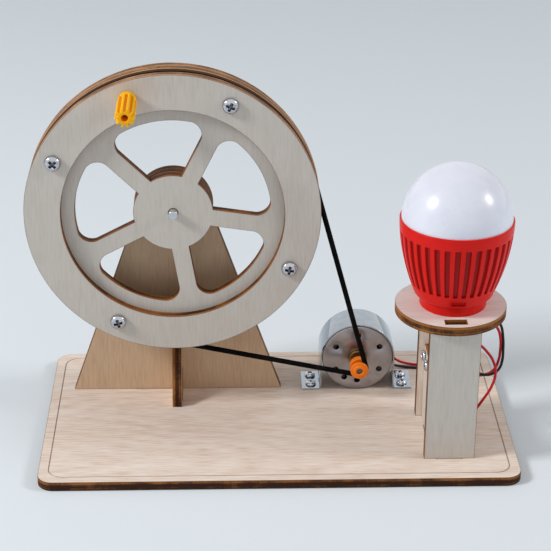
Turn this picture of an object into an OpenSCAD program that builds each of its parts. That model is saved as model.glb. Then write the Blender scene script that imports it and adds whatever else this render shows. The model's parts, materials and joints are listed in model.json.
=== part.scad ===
// Hand-crank generator model: laser-cut plywood stand, flywheel, belt, small motor and bulb lamp.
// Millimetres. The origin is the middle of the base's underside, +Z is up and -Y is the front.

/* [Plywood] */
// Thickness of every plywood sheet
ply = 3; // [2.6:0.1:3.4]
// Clearance of a tab in its slot, on each side
slot_gap = 0.1; // [0.05:0.05:0.25]
// Clearance of a screw, pin or board in its seat
seat_gap = 0.05; // [0.02:0.01:0.1]
// Radial clearance of a shaft in its bearing
run_fit = 0.05; // [0.02:0.01:0.1]
// Gap between faces that turn past each other
run_gap = 0.2; // [0.1:0.05:0.3]

/* [Base] */
// Width of the base plate
base_w = 152; // [146:1:180]
// Depth of the base plate
base_d = 85; // [84:1:110]
// Radius of the base's corners
base_corner = 5; // [3:0.5:9]
// Distance of the engraved border line from the edge
line_inset = 3; // [2:0.5:6]
// Width of the engraved border line
line_w = 0.4; // [0.3:0.1:0.8]
// Depth of the engraved border line
line_depth = 0.3; // [0.1:0.1:0.6]

/* [Flywheel] */
// Diameter of the flywheel's rings
wheel_d = 94.4; // [90:0.2:100]
// Inner diameter of the rings
ring_inner_d = 71.2; // [66:0.2:74]
// Diameter of the spoke plate, which is the bottom of the belt groove
groove_d = 90.4; // [86:0.2:90.6]
// Diameter of the circle that the windows reach out to
window_d = 62.6; // [56:0.2:65]
// Diameter of the hub
hub_d = 25.5; // [20:0.5:30]
// Width of a spoke
spoke_w = 5.7; // [4:0.1:8]
// Number of spokes
spoke_count = 5; // [4:1:6]
// Radius of the windows' outer corners
window_fillet = 4.5; // [1:0.5:5]
// Angle of the first spoke from the right
spoke_turn = 63.5; // [0:0.5:72]
// Diameter of the circle of screws and crank pin
bolt_circle_d = 83; // [80:0.5:94]
// Least wood around the holes of the screws
rim_wood = 1.5; // [1:0.1:1.8]
// Gap between the wheel and the upright
wheel_gap = 1.8; // [1.2:0.1:3]

/* [Axle] */
// Diameter of the wheel's axle
axle_d = 3; // [2:0.1:4]
// How far the axle stands out in front of the hub
axle_nose = 2.5; // [1:0.5:4]
// Outside diameter of the axle's bush
bush_d = 5.4; // [5:0.1:7]
// Diameter of the bush's flange
bush_flange_d = 9; // [8:0.5:12]
// Diameter of the collar behind the upright
collar_d = 7; // [6:0.5:9]
// Length of the collar behind the upright
collar_len = 4; // [3:0.5:6]

/* [Rim screws] */
// Number of rim screws
rim_screw_count = 4; // [3:1:6]
// Diameter of a rim screw's shank
rim_screw_d = 2.6; // [2:0.1:3]
// Diameter of a rim screw's head
rim_head_d = 5.2; // [4.6:0.1:6]
// Height of a rim screw's head
rim_head_h = 1.9; // [1.4:0.1:2.4]
// Wood left behind the tip of a rim screw
rim_screw_rest = 1; // [0.5:0.1:2]
// Turn of each screw's cross from the one before
cross_turn = 25; // [0:5:90]

/* [Crank] */
// Angle from the first spoke to the crank pin
crank_turn = 45; // [36:1:54]
// Diameter of the crank pin
pin_d = 2; // [1.6:0.1:2.4]
// Length of the crank knob
knob_len = 16.8; // [12:0.2:24]
// Outside diameter of the knob's teeth
knob_d = 6.2; // [5.6:0.1:8]
// Depth of the knob's teeth
tooth_depth = 1; // [0.6:0.1:1.1]
// Number of the knob's teeth
tooth_count = 10; // [8:1:12]
// Width of a tooth at its foot
tooth_foot_w = 0.82; // [0.7:0.02:0.9]
// Width of a tooth at its tip
tooth_tip_w = 0.45; // [0.3:0.05:0.6]
// Length of the smooth collar at the knob's foot
knob_collar = 2.2; // [1:0.2:4]
// Diameter of that collar
knob_collar_d = 5.6; // [5:0.1:6.4]
// Depth of the open bore in front of the pin
knob_hollow = 5; // [1:0.5:6]

/* [Wheel stand] */
// Distance of the upright's middle from the base's left edge
upright_inset = 42.8; // [40:0.1:46]
// Distance of the upright's front face behind the base's middle
upright_y = 16.8; // [16:0.2:22]
// Height of the axle above the base's top
axle_h = 70; // [66:0.5:80]
// Width of the upright at its foot
upright_foot_w = 70.4; // [60:0.2:76]
// Diameter of the upright's rounded top
upright_top_d = 20; // [16:0.5:26]
// Width of the upright's tab
upright_tab_w = 27.5; // [20:0.5:40]
// Reach of the brace's foot in front of and behind the upright
brace_reach = 12.9; // [11:0.1:18]
// Height of the brace's foot
brace_foot_h = 4.3; // [3:0.1:7]
// Depth of the ledge on the brace's foot
brace_ledge = 0.9; // [0.5:0.1:2]
// Height of the cross-lap between brace and upright
lap_h = 8; // [6:0.5:12]
// Height of the brace behind the upright
brace_rear_h = 40; // [30:1:50]
// Room between the top of the brace's front and the wheel
brace_clear = 3.3; // [2.5:0.1:6]
// Reach of the brace's top in front of and behind the upright
brace_top = 3.5; // [2:0.5:6]
// Length of the brace's tab in front of and behind the upright
brace_tab = 8; // [5:0.5:10]

/* [Motor] */
// Diameter of the motor
motor_d = 24; // [22:0.2:26]
// Length of the motor
motor_len = 12.3; // [11.5:0.1:16]
// Distance of the motor's axis from the wheel's rim, sideways
motor_offset = 13.9; // [13:0.1:20]
// Distance of the motor's face in front of the upright's front face
motor_lead = 1.8; // [1:0.1:3]
// Thickness of the motor's can
can_wall = 0.7; // [0.5:0.1:1]
// Radius of the can's front edge
can_edge = 0.6; // [0.2:0.1:0.6]
// Thickness of the motor's rear cap
cap_t = 1.2; // [1:0.1:2]
// Diameter of the circle of holes in the motor's face
face_circle_d = 17; // [15:0.5:18]
// Number of holes on that circle
face_hole_count = 6; // [4:1:8]
// Diameter of a hole in the motor's face
face_hole_d = 2; // [1.4:0.1:2.4]
// Angle of the one hole between the others
odd_hole_turn = 239; // [230:1:250]
// Diameter of the motor's front bearing
bearing_d = 6; // [5:0.1:7]
// How far the front bearing stands out of the face
bearing_nose = 1; // [0.5:0.1:2]
// Height of the rear bearing's boss on the cap
cap_boss = 1; // [0.5:0.1:2]
// Diameter of the motor's shaft
shaft_d = 2; // [1.5:0.1:2.2]
// Thickness of the magnets
magnet_t = 3; // [2:0.1:3.4]
// Angle that one magnet spans
magnet_arc = 120; // [100:5:140]
// Length of the can that the magnets leave free
magnet_rest = 3; // [2:0.1:4]

/* [Armature] */
// Gap between the armature and the magnets
air_gap = 0.4; // [0.3:0.1:0.8]
// Room between the can's face and the armature's core
core_room = 2.5; // [2:0.1:3]
// Number of poles
pole_count = 3; // [3:1:4]
// Angle that one pole shoe spans
pole_arc = 100; // [70:5:100]
// Thickness of a pole shoe
pole_shoe_t = 1.3; // [1:0.1:1.6]
// Width of a pole's neck
pole_neck_w = 2.2; // [1.6:0.1:2.6]
// Radius of the core's hub
pole_hub_r = 2.6; // [2.2:0.1:3]
// Width of a winding
winding_w = 6; // [4:0.2:6]
// How far a winding stands past the core's ends
winding_over = 0.9; // [0.6:0.1:1.2]
// Room between a winding and the hub or shoe
winding_room = 0.4; // [0.3:0.1:0.8]
// Diameter of the commutator
commutator_d = 4.4; // [3.6:0.1:5]
// Length of the commutator
commutator_len = 1.2; // [0.8:0.1:2]
// Room between the commutator and the rear cap
commutator_room = 1.2; // [1:0.1:2]
// Width of a brush
brush_w = 1.6; // [1:0.1:2]
// Thickness of a brush
brush_t = 0.3; // [0.2:0.1:0.5]

/* [Motor tabs] */
// Length of a solder tab
tab_len = 3; // [2.5:0.1:4]
// Width of a solder tab
tab_w = 2; // [1.6:0.1:2.4]
// Thickness of a solder tab
tab_t = 0.5; // [0.3:0.1:0.8]
// Distance of the tabs to the right of the motor's axis
tab_x = 6.1; // [5:0.1:7]
// Distance of the upper tab below the motor's axis
tab_drop = 5.55; // [5:0.05:6]
// Distance between the two tabs
tab_pitch = 2.9; // [2.6:0.1:3.2]

/* [Motor strap] */
// Thickness of the strap's sheet metal
strap_t = 0.5; // [0.3:0.1:1]
// Length of each of the strap's ears
ear_len = 6.2; // [5:0.1:9]
// Distance between the two screws in one ear
ear_pitch = 6.1; // [5:0.1:7]
// Diameter of a strap screw's head
strap_head_d = 3.6; // [3:0.1:4.4]
// Height of a strap screw's head
strap_head_h = 1.3; // [0.8:0.1:1.8]
// Diameter of a strap screw's shank
strap_screw_d = 1.6; // [1.2:0.1:2]
// Wood left under the tip of a strap screw
strap_screw_rest = 0.5; // [0.3:0.1:1]

/* [Belt and pulley] */
// Diameter of the round belt
belt_d = 1.7; // [1.4:0.1:1.9]
// How much thinner the belt is where it runs straight and taut
belt_slim = 0.04; // [0.02:0.01:0.1]
// Clearance between the belt and the bottom of its groove
belt_gap = 0.1; // [0.05:0.05:0.2]
// Diameter of the pulley's groove
pulley_groove_d = 2.8; // [2.6:0.1:3.6]
// Diameter of the pulley's flanges
pulley_d = 6; // [5.4:0.1:7]
// Clearance of the belt beside the pulley's flanges
pulley_side_gap = 0.1; // [0.05:0.05:0.3]
// Thickness of the pulley's front flange
pulley_front_t = 0.8; // [0.5:0.1:1.2]
// Thickness of the pulley's rear flange and hub
pulley_rear_t = 2.3; // [1.5:0.1:3]
// Diameter of the pulley's front boss
pulley_boss_d = 3.8; // [3:0.1:4.4]
// Height of the pulley's front boss
pulley_boss_h = 0.5; // [0.2:0.1:0.8]
// How far the shaft's end lies behind the pulley's tip
shaft_set_back = 0.5; // [0:0.1:0.8]

/* [Lamp post] */
// Distance of the post's middle from the base's right edge
post_inset = 21.9; // [20:0.1:26]
// Distance of the front panel's face from the base's front edge
post_front = 11.65; // [9:0.05:14]
// Width of the post's panels
panel_w = 16; // [14:0.5:18]
// Height of the post's panels above the base
panel_h = 45; // [40:0.5:55]
// Distance between the front faces of the two panels
panel_pitch = 27.4; // [26:0.1:28]
// Distance of the web from the panels' left edge
web_inset = 2.1; // [1.5:0.1:3]
// Height of the web above the base
web_h = 27; // [27:0.5:32]
// Width of a panel's bottom tab
panel_tab_w = 8; // [6:0.5:10]
// Width of a panel's top tab
disc_tab_w = 6.6; // [5:0.2:9]
// How far a top tab ends below the disc's top
disc_tab_drop = 1; // [0.5:0.1:1.5]
// Length of the web's tab
web_tab_len = 12; // [8:1:16]
// Diameter of the lamp's disc
disc_d = 35; // [34:0.5:40]
// Diameter of the wire hole in the disc
wire_hole_d = 4.4; // [4.2:0.1:6]

/* [Terminals] */
// Height of the terminal screws above the base
terminal_h = 23.9; // [22:0.1:24.5]
// Distance of the rear terminal from the rear panel
terminal_back = 2.6; // [2.4:0.1:5]
// Distance between the two terminals
terminal_pitch = 6.7; // [5:0.1:8]
// Diameter of a terminal screw
terminal_d = 2; // [1.6:0.1:2.4]
// Diameter of a terminal screw's head
terminal_head_d = 3.8; // [3:0.1:4.4]
// Height of a terminal screw's head
terminal_head_h = 1.3; // [0.8:0.1:1.8]
// Width of a terminal nut across its flats
nut_w = 4; // [3.6:0.1:4.4]
// Thickness of a terminal nut
nut_t = 1.8; // [1.4:0.1:2.2]
// Length of screw past its nut
terminal_nose = 1.4; // [0.8:0.1:2]

/* [Bulb] */
// How far the bulb stands right of the disc's middle
bulb_shift = 0.6; // [0:0.1:1]
// Diameter of the bulb's neck
neck_d = 21; // [18:0.2:23]
// Height of the bulb's neck
neck_h = 3.9; // [3:0.1:6]
// Diameter of the shell's lower end
shell_low_d = 24.4; // [23:0.2:27]
// Diameter of the shell's rim
shell_d = 35.5; // [33:0.1:38]
// Height of the shell above the neck
shell_h = 25.3; // [22:0.1:30]
// Exponent of the shell's bulge
shell_bulge = 1.9; // [1.6:0.1:3]
// Wall of the shell
shell_wall = 1.6; // [1.4:0.1:2]
// Number of slots around the shell
slot_count = 34; // [20:1:40]
// Share of each step that a slot takes
slot_share = 0.5; // [0.3:0.05:0.7]
// Depth of the slots
slot_depth = 0.7; // [0.3:0.1:0.9]
// Distance of the slots from the shell's lower end
slot_low = 4.2; // [3:0.1:6]
// Distance of the slots from the rim
slot_high = 4; // [3.6:0.1:6]
// Width of the snap window
snap_w = 4.3; // [3:0.1:6]
// Height of the snap window
snap_h = 1.6; // [1:0.1:2.4]
// Height of the dome above the rim
dome_h = 17.4; // [14:0.2:28]
// Depth of the dome's widest circle below the rim
dome_sink = 0.5; // [0:0.5:8]
// Wall of the dome
dome_wall = 1.1; // [0.8:0.1:1.6]
// Thickness of the shell's lip around the dome
lip_t = 0.5; // [0.4:0.1:0.9]
// Depth of the dome's skirt inside the lip
skirt_h = 3; // [2:0.1:3.4]
// Height of the lamp board above the shell's lower end
board_rise = 15; // [12:0.5:18]
// Thickness of the lamp board
board_t = 1.2; // [0.8:0.1:1.6]
// Width of the ledge that carries the lamp board
board_ledge = 1.8; // [1:0.1:2.5]
// Thickness of the floor in the bulb's neck
floor_t = 2; // [1:0.2:3]
// Diameter of the light-emitting diode
led_d = 5; // [3:0.5:8]
// Height of the diode's straight part
led_h = 5; // [3:0.5:6]
// Width and height of the diode's foot ring
led_foot = 1; // [0.6:0.1:1.2]

/* [Wires] */
// Diameter of a wire over its insulation
wire_d = 0.9; // [0.7:0.1:1.3]

/* [Hidden] */
$fn = 96;

// Cutters reach this far past the faces that they cut
cut = 1;
// A fillet's circle is this much larger, so that it crosses its walls
fillet_lap = 0.05;
wood = "burlywood";
steel = "silver";
orange = "orange";

// Base
base_top = ply;

// Wheel stand
wheel_x = -base_w / 2 + upright_inset;
axle_z = base_top + axle_h;
upright_back = upright_y + ply;

// Diameters of the spoke plate and the rings, which leave wood outside the screws
plate_d = max(groove_d, bolt_circle_d + rim_screw_d + 2 * rim_wood);
ring_d = plate_d + wheel_d - groove_d;
ring_hole_d = min(ring_inner_d, bolt_circle_d - rim_screw_d - 2 * rim_wood);
brace_front_h = axle_h - ring_d / 2 - brace_clear;

// Layers of the wheel, from the back to the front
wheel_back = upright_y - wheel_gap;
rear_ring_y = wheel_back - ply;
middle_ring_y = rear_ring_y - ply;
spoke_plate_y = middle_ring_y - ply;
wheel_front = spoke_plate_y - ply;
groove_y = spoke_plate_y + ply / 2;

// Crank
crank_angle = spoke_turn + crank_turn;
crank_x = wheel_x + bolt_circle_d / 2 * cos(crank_angle);
crank_z = axle_z + bolt_circle_d / 2 * sin(crank_angle);
knob_back = wheel_front - run_gap;
knob_front = knob_back - knob_len;
pin_front = knob_front + knob_hollow;
pin_back = wheel_back - rim_screw_rest;

// Motor
motor_r = motor_d / 2;
motor_x = wheel_x + ring_d / 2 + motor_offset;
motor_z = base_top + motor_r + seat_gap;
motor_front = upright_y - motor_lead;
motor_back = motor_front + motor_len;
can_inner_r = motor_r - can_wall;
can_len = motor_len - cap_t;
magnet_inner_r = can_inner_r - seat_gap - magnet_t;
armature_r = magnet_inner_r - air_gap;
core_from = can_wall + core_room;
commutator_from = can_len - commutator_room - commutator_len;
core_len = commutator_from - run_gap - winding_over - core_from;
bearing_len = core_from - winding_over - run_gap;
winding_low = pole_hub_r + winding_room;
winding_high = sqrt(pow(armature_r - pole_shoe_t - winding_room, 2) - pow(winding_w / 2, 2));
tab_heights = [-tab_drop, -tab_drop - tab_pitch];

// Strap
strap_inner_r = motor_r + seat_gap;
strap_outer_r = strap_inner_r + strap_t;
ear_mid = strap_outer_r + ear_len / 2;

// Belt and pulley
belt_on_wheel_r = plate_d / 2 + belt_gap + belt_d / 2;
belt_on_pulley_r = pulley_groove_d / 2 + belt_gap + belt_d / 2;
belt_span = norm([motor_x - wheel_x, motor_z - axle_z]);
belt_line = atan2(motor_z - axle_z, motor_x - wheel_x);
belt_lean = asin((belt_on_wheel_r - belt_on_pulley_r) / belt_span);
belt_run = belt_span * cos(belt_lean);
belt_lap = 0.15;
pulley_slot = belt_d + 2 * pulley_side_gap;
pulley_front_flange = groove_y - pulley_slot / 2 - pulley_front_t;
pulley_tip = pulley_front_flange - pulley_boss_h;
shaft_tip = pulley_tip + shaft_set_back;

// Lamp post
post_x = base_w / 2 - post_inset;
panel_left = post_x - panel_w / 2;
front_panel_y = -base_d / 2 + post_front;
rear_panel_y = front_panel_y + panel_pitch;
disc_y = (front_panel_y + rear_panel_y + ply) / 2;
disc_low = base_top + panel_h;
disc_top = disc_low + ply;
web_x = panel_left + web_inset;
web_front = front_panel_y + ply;
web_len = rear_panel_y - web_front;
terminal_z = base_top + terminal_h;
terminal_ys = [rear_panel_y - terminal_back, rear_panel_y - terminal_back - terminal_pitch];

// Bulb
bulb_x = post_x + bulb_shift;
shell_low_z = disc_top + neck_h;
rim_z = shell_low_z + shell_h;
shell_low_r = shell_low_d / 2;
shell_r = shell_d / 2;
dome_rim_r = shell_r - lip_t - seat_gap;
dome_half_h = dome_h + dome_sink;
dome_start = asin(dome_sink / dome_half_h);
dome_half_d = dome_rim_r / cos(dome_start);
board_z = shell_low_z + board_rise;
shell_steps = 12;
dome_steps = 20;

// Outer radius of the bulb's shell at a height above its lower end
function shell_at(h) = shell_r - (shell_r - shell_low_r) * pow((shell_h - h) / shell_h, shell_bulge);

// Outline of the dome from its rim to its top, an arc of an ellipse moved inwards by a wall
function dome_curve(wall) = [for (i = [0 : dome_steps])
    let (a = dome_start + (90 - dome_start) * i / dome_steps)
    [(dome_half_d - wall) * cos(a), rim_z - dome_sink + (dome_half_h - wall) * sin(a)]];

// The same points from the last to the first
function turned_round(points) = [for (i = [len(points) - 1 : -1 : 0]) points[i]];

// Routes of the four wires, each from its first end to its last
motor_red_route = [[34.5, 28.9, 9.5], [36.5, 28.9, 9.5], [39, 29.7, 8.7], [41.3, 30.9, 7], [43.3, 31.5, 5.2],
    [46, 31.7, 4], [50, 31.3, 3.5], [56, 31, 3.5], [61, 30, 3.5], [64.5, 27.4, 3.5], [66, 23.5, 3.5],
    [66.3, 18, 3.5], [66.3, 8, 3.5], [66, 0, 3.5], [65.4, -4.5, 3.9], [63.8, -9, 4.6],
    [62, -13, 6.5], [61.6, -16.5, 9.5], [63, -18.6, 13], [65.6, -19, 17.5], [68.2, -19, 22.5],
    [69.2, -19, 27], [68.5, -19, 31], [66.2, -18.8, 34.8], [63, -18, 37.6], [59, -16.4, 38.4],
    [55.4, -14.3, 37], [53, -13, 34], [52.1, -12.7, 31.4], [52.1, -12.7, 28.9]];
motor_black_route = [[34.5, 28.9, 6.6], [36.5, 28.9, 6.6], [39, 29.1, 5.9], [41.5, 29.4, 4.6],
    [44, 29.5, 3.9], [48, 29.2, 3.5], [54, 28.8, 3.5], [58.5, 27.8, 3.5], [61.8, 25.4, 3.5],
    [63.6, 22, 3.5], [64.2, 17, 3.5], [64.2, 8, 3.5], [64, -1, 3.5], [63, -4.5, 3.9],
    [60.5, -7, 4.3], [57, -7.8, 5], [54.2, -7.2, 7], [52.6, -6.2, 10.5], [52.1, -6, 15],
    [52.1, -6, 20], [52.1, -6, 24.9]];
lamp_red_route = [[53.25, -15.55, 69.9], [53.25, -15.55, 52], [53.25, -15.55, 48.6], [53.9, -15.7, 46.9],
    [56, -16.2, 45.9], [60, -16.2, 45.4], [64, -15.9, 45], [67.4, -15.6, 43.9], [69.6, -15.3, 41.4],
    [70.7, -15, 38], [71, -14.6, 33], [70.7, -14, 29], [69.5, -13.6, 25.6], [67, -13.2, 23.8],
    [63.5, -13, 23.4], [60, -12.9, 24.3], [57.6, -12.7, 26.2], [56.3, -12.7, 26.9], [54.4, -12.7, 26.9]];
lamp_black_route = [[54.95, -15.55, 69.9], [54.95, -15.55, 52], [54.95, -15.55, 49], [55.6, -15.3, 47.4],
    [57.6, -14.9, 46.6], [61, -14.4, 46.4], [65, -14.2, 46.1], [68.5, -14.2, 45], [70.6, -14.4, 42.3],
    [71.5, -14.8, 38.5], [71.8, -15.3, 33.5], [71.6, -15.8, 29.9], [70.6, -16.2, 27.2], [68.9, -16.3, 25.8],
    [66, -15.8, 25.1], [63, -14.6, 25.9], [60.5, -11.5, 26.6], [58.6, -8.5, 26.9], [57.2, -6.6, 26.9],
    [56, -6.05, 26.9], [54.4, -6.05, 26.9]];

// Shapes that repeat

// Draws a flat outline in X and Z and thickens it from y0 to y1
module sheet_xz(y0, y1)
    translate([0, y1, 0]) rotate([90, 0, 0]) linear_extrude(y1 - y0) children();

// Draws a flat outline in Y and Z and thickens it from x0 to x1
module sheet_yz(x0, x1)
    translate([x0, 0, 0]) rotate([90, 0, 90]) linear_extrude(x1 - x0) children();

// Turns a profile of radius and length about an axis along +Y
module turned_y() rotate([-90, 0, 0]) rotate_extrude() children();

// Round bar along Y
module rod_y(d, y0, y1) translate([0, y0, 0]) rotate([-90, 0, 0]) cylinder(d = d, h = y1 - y0);

// Moves to the wheel's axle
module at_axle() translate([wheel_x, 0, axle_z]) children();

// Moves to the motor's axis, with the motor's face at Y = 0
module at_motor() translate([motor_x, motor_front, motor_z]) children();

// Rectangle with rounded corners about the origin
module rounded_plate(w, d, r) {
    square([w - 2 * r, d], center = true);
    square([w, d - 2 * r], center = true);
    for (x = [-1, 1], y = [-1, 1])
        translate([x * (w / 2 - r), y * (d / 2 - r)]) circle(r);
}

// Pie slice between two angles
module wedge(r, a0, a1)
    polygon([[0, 0], 2 * r * [cos(a0), sin(a0)], 2 * r * [cos((a0 + a1) / 2), sin((a0 + a1) / 2)],
        2 * r * [cos(a1), sin(a1)]]);

// Pan head screw along -Z with a cross recess, its head's seat at z = 0
module pan_screw(head_d, head_h, shank_d, shank_len) {
    cross_w = head_d / 6;
    cross_l = head_d * 0.6;
    difference() {
        rotate_extrude() polygon([[0, 0], [head_d / 2, 0], [head_d / 2, head_h * 0.4],
            [head_d * 0.42, head_h * 0.78], [head_d * 0.26, head_h], [0, head_h]]);
        for (a = [0, 90])
            rotate(a) translate([-cross_l / 2, -cross_w / 2, head_h * 0.45]) cube([cross_l, cross_w, head_h]);
    }
    translate([0, 0, -shank_len]) cylinder(d = shank_d, h = shank_len);
}

// Places a shape at every rim screw in a flat outline
module at_rim_screws()
    for (k = [0 : rim_screw_count - 1])
        rotate(spoke_turn + 360 / rim_screw_count * k) translate([bolt_circle_d / 2, 0]) children();

// Holes of the rim screws and the crank pin
module rim_holes() {
    at_rim_screws() circle(d = rim_screw_d + 2 * seat_gap);
    rotate(crank_angle) translate([bolt_circle_d / 2, 0]) circle(d = pin_d + 2 * seat_gap);
}

// Ring of the flywheel
module wheel_ring(y0)
    color(wood) at_axle() sheet_xz(y0, y0 + ply) difference() {
        circle(d = ring_d);
        circle(d = ring_hole_d);
        rim_holes();
    }

// Disc behind the hub
module hub_disc(y0)
    color(wood) at_axle() sheet_xz(y0, y0 + ply) difference() {
        circle(d = hub_d);
        circle(d = axle_d + 2 * seat_gap);
    }

// Window between two spokes, with rounded outer corners; the first spoke lies along +X
module window() {
    step = 360 / spoke_count;
    r = window_d / 2;
    apex = spoke_w / 2 / sin(step / 2) * [cos(step / 2), sin(step / 2)];
    side = spoke_w / 2 + window_fillet;
    fillet_x = sqrt(pow(r - window_fillet, 2) - side * side);
    fillet_turn = atan2(side, fillet_x);
    difference() {
        intersection() {
            translate(apex) wedge(r, 0, step);
            circle(r);
        }
        circle(d = hub_d);
        for (k = [0, 1])
            rotate(k * step) mirror([0, k]) difference() {
                polygon([[fillet_x, side], [fillet_x, 0], [2 * r, 0],
                    2 * r * [cos(fillet_turn), sin(fillet_turn)]]);
                translate([fillet_x, side]) circle(window_fillet + fillet_lap);
            }
    }
}

// Panel of the lamp post, with a tab at its foot and one at its head
module post_panel(y0)
    color(wood) translate([post_x, 0, 0]) sheet_xz(y0, y0 + ply) {
        translate([-panel_w / 2, base_top]) square([panel_w, panel_h]);
        translate([-panel_tab_w / 2, 0]) square([panel_tab_w, base_top]);
        translate([-disc_tab_w / 2, disc_low]) square([disc_tab_w, ply - disc_tab_drop]);
    }

// Unit vector
function unit(v) = v / norm(v);

// Direction of a route at one of its points
function heading(route, i) =
    unit(route[min(i + 1, len(route) - 1)] - route[max(i - 1, 0)]);

// Side vectors along a route, each carried on from the one before
function sides(route, i, before) = i == len(route) ? [] :
    let (t = heading(route, i), s = unit(before - (before * t) * t))
    concat([s], sides(route, i + 1, s));

// Round tube swept along a route
module wire(route) {
    faces = 8;
    last = len(route) - 1;
    t0 = heading(route, 0);
    start = abs(t0[2]) < 0.9 ? cross(t0, [0, 0, 1]) : cross(t0, [0, 1, 0]);
    side = sides(route, 0, unit(start));
    points = [for (i = [0 : last], k = [0 : faces - 1])
        let (a = 360 * k / faces, up = cross(heading(route, i), side[i]))
        route[i] + wire_d / 2 * (cos(a) * side[i] + sin(a) * up)];
    walls = [for (i = [0 : last - 1], k = [0 : faces - 1])
        let (a = i * faces + k, b = i * faces + (k + 1) % faces)
        each [[a, a + faces, b], [b, a + faces, b + faces]]];
    near_cap = [for (k = [1 : faces - 2]) [0, k, k + 1]];
    far_cap = [for (k = [1 : faces - 2]) [last * faces, last * faces + k + 1, last * faces + k]];
    polyhedron(points, concat(walls, near_cap, far_cap), convexity = 4);
}

// Wheel stand

module base_plate() color("bisque") difference() {
    linear_extrude(ply) rounded_plate(base_w, base_d, base_corner);
    translate([0, 0, ply - line_depth]) linear_extrude(line_depth + cut) difference() {
        rounded_plate(base_w - 2 * line_inset, base_d - 2 * line_inset, base_corner);
        rounded_plate(base_w - 2 * line_inset - 2 * line_w, base_d - 2 * line_inset - 2 * line_w,
            base_corner - line_w);
    }
    translate([0, 0, -cut]) linear_extrude(ply + 2 * cut) base_slots();
    at_strap_screws() translate([0, 0, strap_screw_rest - ply])
        cylinder(d = strap_screw_d + 2 * seat_gap, h = ply);
}

// Slots in the base for the tabs of the upright, the brace and the lamp post
module base_slots() {
    translate([wheel_x - upright_tab_w / 2 - slot_gap, upright_y - slot_gap])
        square([upright_tab_w + 2 * slot_gap, ply + 2 * slot_gap]);
    translate([wheel_x - ply / 2 - slot_gap, upright_y - brace_tab - slot_gap])
        square([ply + 2 * slot_gap, ply + 2 * brace_tab + 2 * slot_gap]);
    for (y = [front_panel_y, rear_panel_y])
        translate([post_x - panel_tab_w / 2 - slot_gap, y - slot_gap])
            square([panel_tab_w + 2 * slot_gap, ply + 2 * slot_gap]);
    translate([web_x - slot_gap, web_front + web_len / 2 - web_tab_len / 2 - slot_gap])
        square([ply + 2 * slot_gap, web_tab_len + 2 * slot_gap]);
}

module upright() color(wood) translate([wheel_x, 0, base_top]) sheet_xz(upright_y, upright_back) {
    top_r = upright_top_d / 2;
    foot = upright_foot_w / 2;
    reach = norm([foot, axle_h]);
    touch = acos(top_r / reach) - atan2(axle_h, foot);
    side_x = top_r * cos(touch);
    side_z = axle_h + top_r * sin(touch);
    difference() {
        union() {
            polygon([[-foot, 0], [foot, 0], [side_x, side_z], [-side_x, side_z]]);
            translate([0, axle_h]) circle(top_r);
            translate([-upright_tab_w / 2, -ply]) square([upright_tab_w, ply]);
        }
        translate([0, axle_h]) circle(d = bush_d + 2 * seat_gap);
        translate([-ply / 2 - slot_gap, -ply - cut]) square([ply + 2 * slot_gap, lap_h + ply + cut]);
    }
}

module brace() color(wood) translate([0, upright_y, base_top])
    sheet_yz(wheel_x - ply / 2, wheel_x + ply / 2) {
        rear_foot = ply + brace_reach;
        polygon([[-brace_reach, 0], [-brace_reach, brace_foot_h], [-brace_reach + brace_ledge, brace_foot_h],
            [-brace_top, brace_front_h], [-slot_gap, brace_front_h], [-slot_gap, lap_h - slot_gap],
            [ply + slot_gap, lap_h - slot_gap], [ply + slot_gap, brace_rear_h],
            [ply + brace_top, brace_rear_h], [rear_foot - brace_ledge, brace_foot_h],
            [rear_foot, brace_foot_h], [rear_foot, 0], [ply + brace_tab, 0], [ply + brace_tab, -ply],
            [-brace_tab, -ply], [-brace_tab, 0]]);
    }

module axle_bush() color("white") at_axle() translate([0, wheel_back + run_gap, 0]) turned_y()
    difference() {
        flange_t = wheel_gap - run_gap;
        union() {
            square([bush_flange_d / 2, flange_t]);
            square([bush_d / 2, flange_t + ply]);
        }
        translate([0, -cut]) square([axle_d / 2 + run_fit, flange_t + ply + 2 * cut]);
    }

// Flywheel

module front_ring() wheel_ring(wheel_front);

module middle_ring() wheel_ring(middle_ring_y);

module rear_ring() wheel_ring(rear_ring_y);

module spoke_plate() color(wood) at_axle() sheet_xz(spoke_plate_y, middle_ring_y) difference() {
    circle(d = plate_d);
    for (k = [0 : spoke_count - 1])
        rotate(spoke_turn + 360 / spoke_count * k) window();
    circle(d = axle_d + 2 * seat_gap);
    rim_holes();
}

module hub_disc_front() hub_disc(middle_ring_y);

module hub_disc_rear() hub_disc(rear_ring_y);

module wheel_axle() color(steel) at_axle() translate([0, spoke_plate_y - axle_nose, 0]) turned_y() {
    edge = 0.3;
    axle_len = upright_back + run_gap + collar_len + edge + axle_nose - spoke_plate_y;
    polygon([[0, 0], [axle_d / 2 - edge, 0], [axle_d / 2, edge], [axle_d / 2, axle_len - edge],
        [axle_d / 2 - edge, axle_len], [0, axle_len]]);
}

module axle_collar() color(orange) at_axle() translate([0, upright_back + run_gap, 0]) turned_y()
    translate([axle_d / 2 + seat_gap, 0]) square([(collar_d - axle_d) / 2 - seat_gap, collar_len]);

module rim_screws() color(steel) at_axle()
    for (k = [0 : rim_screw_count - 1])
        rotate([0, -spoke_turn - 360 / rim_screw_count * k, 0])
            translate([bolt_circle_d / 2, wheel_front, 0]) rotate([90, cross_turn * k, 0])
                pan_screw(rim_head_d, rim_head_h, rim_screw_d, wheel_back - wheel_front - rim_screw_rest);

module crank_pin() color(steel) translate([crank_x, 0, crank_z]) rod_y(pin_d, pin_front, pin_back);

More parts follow.
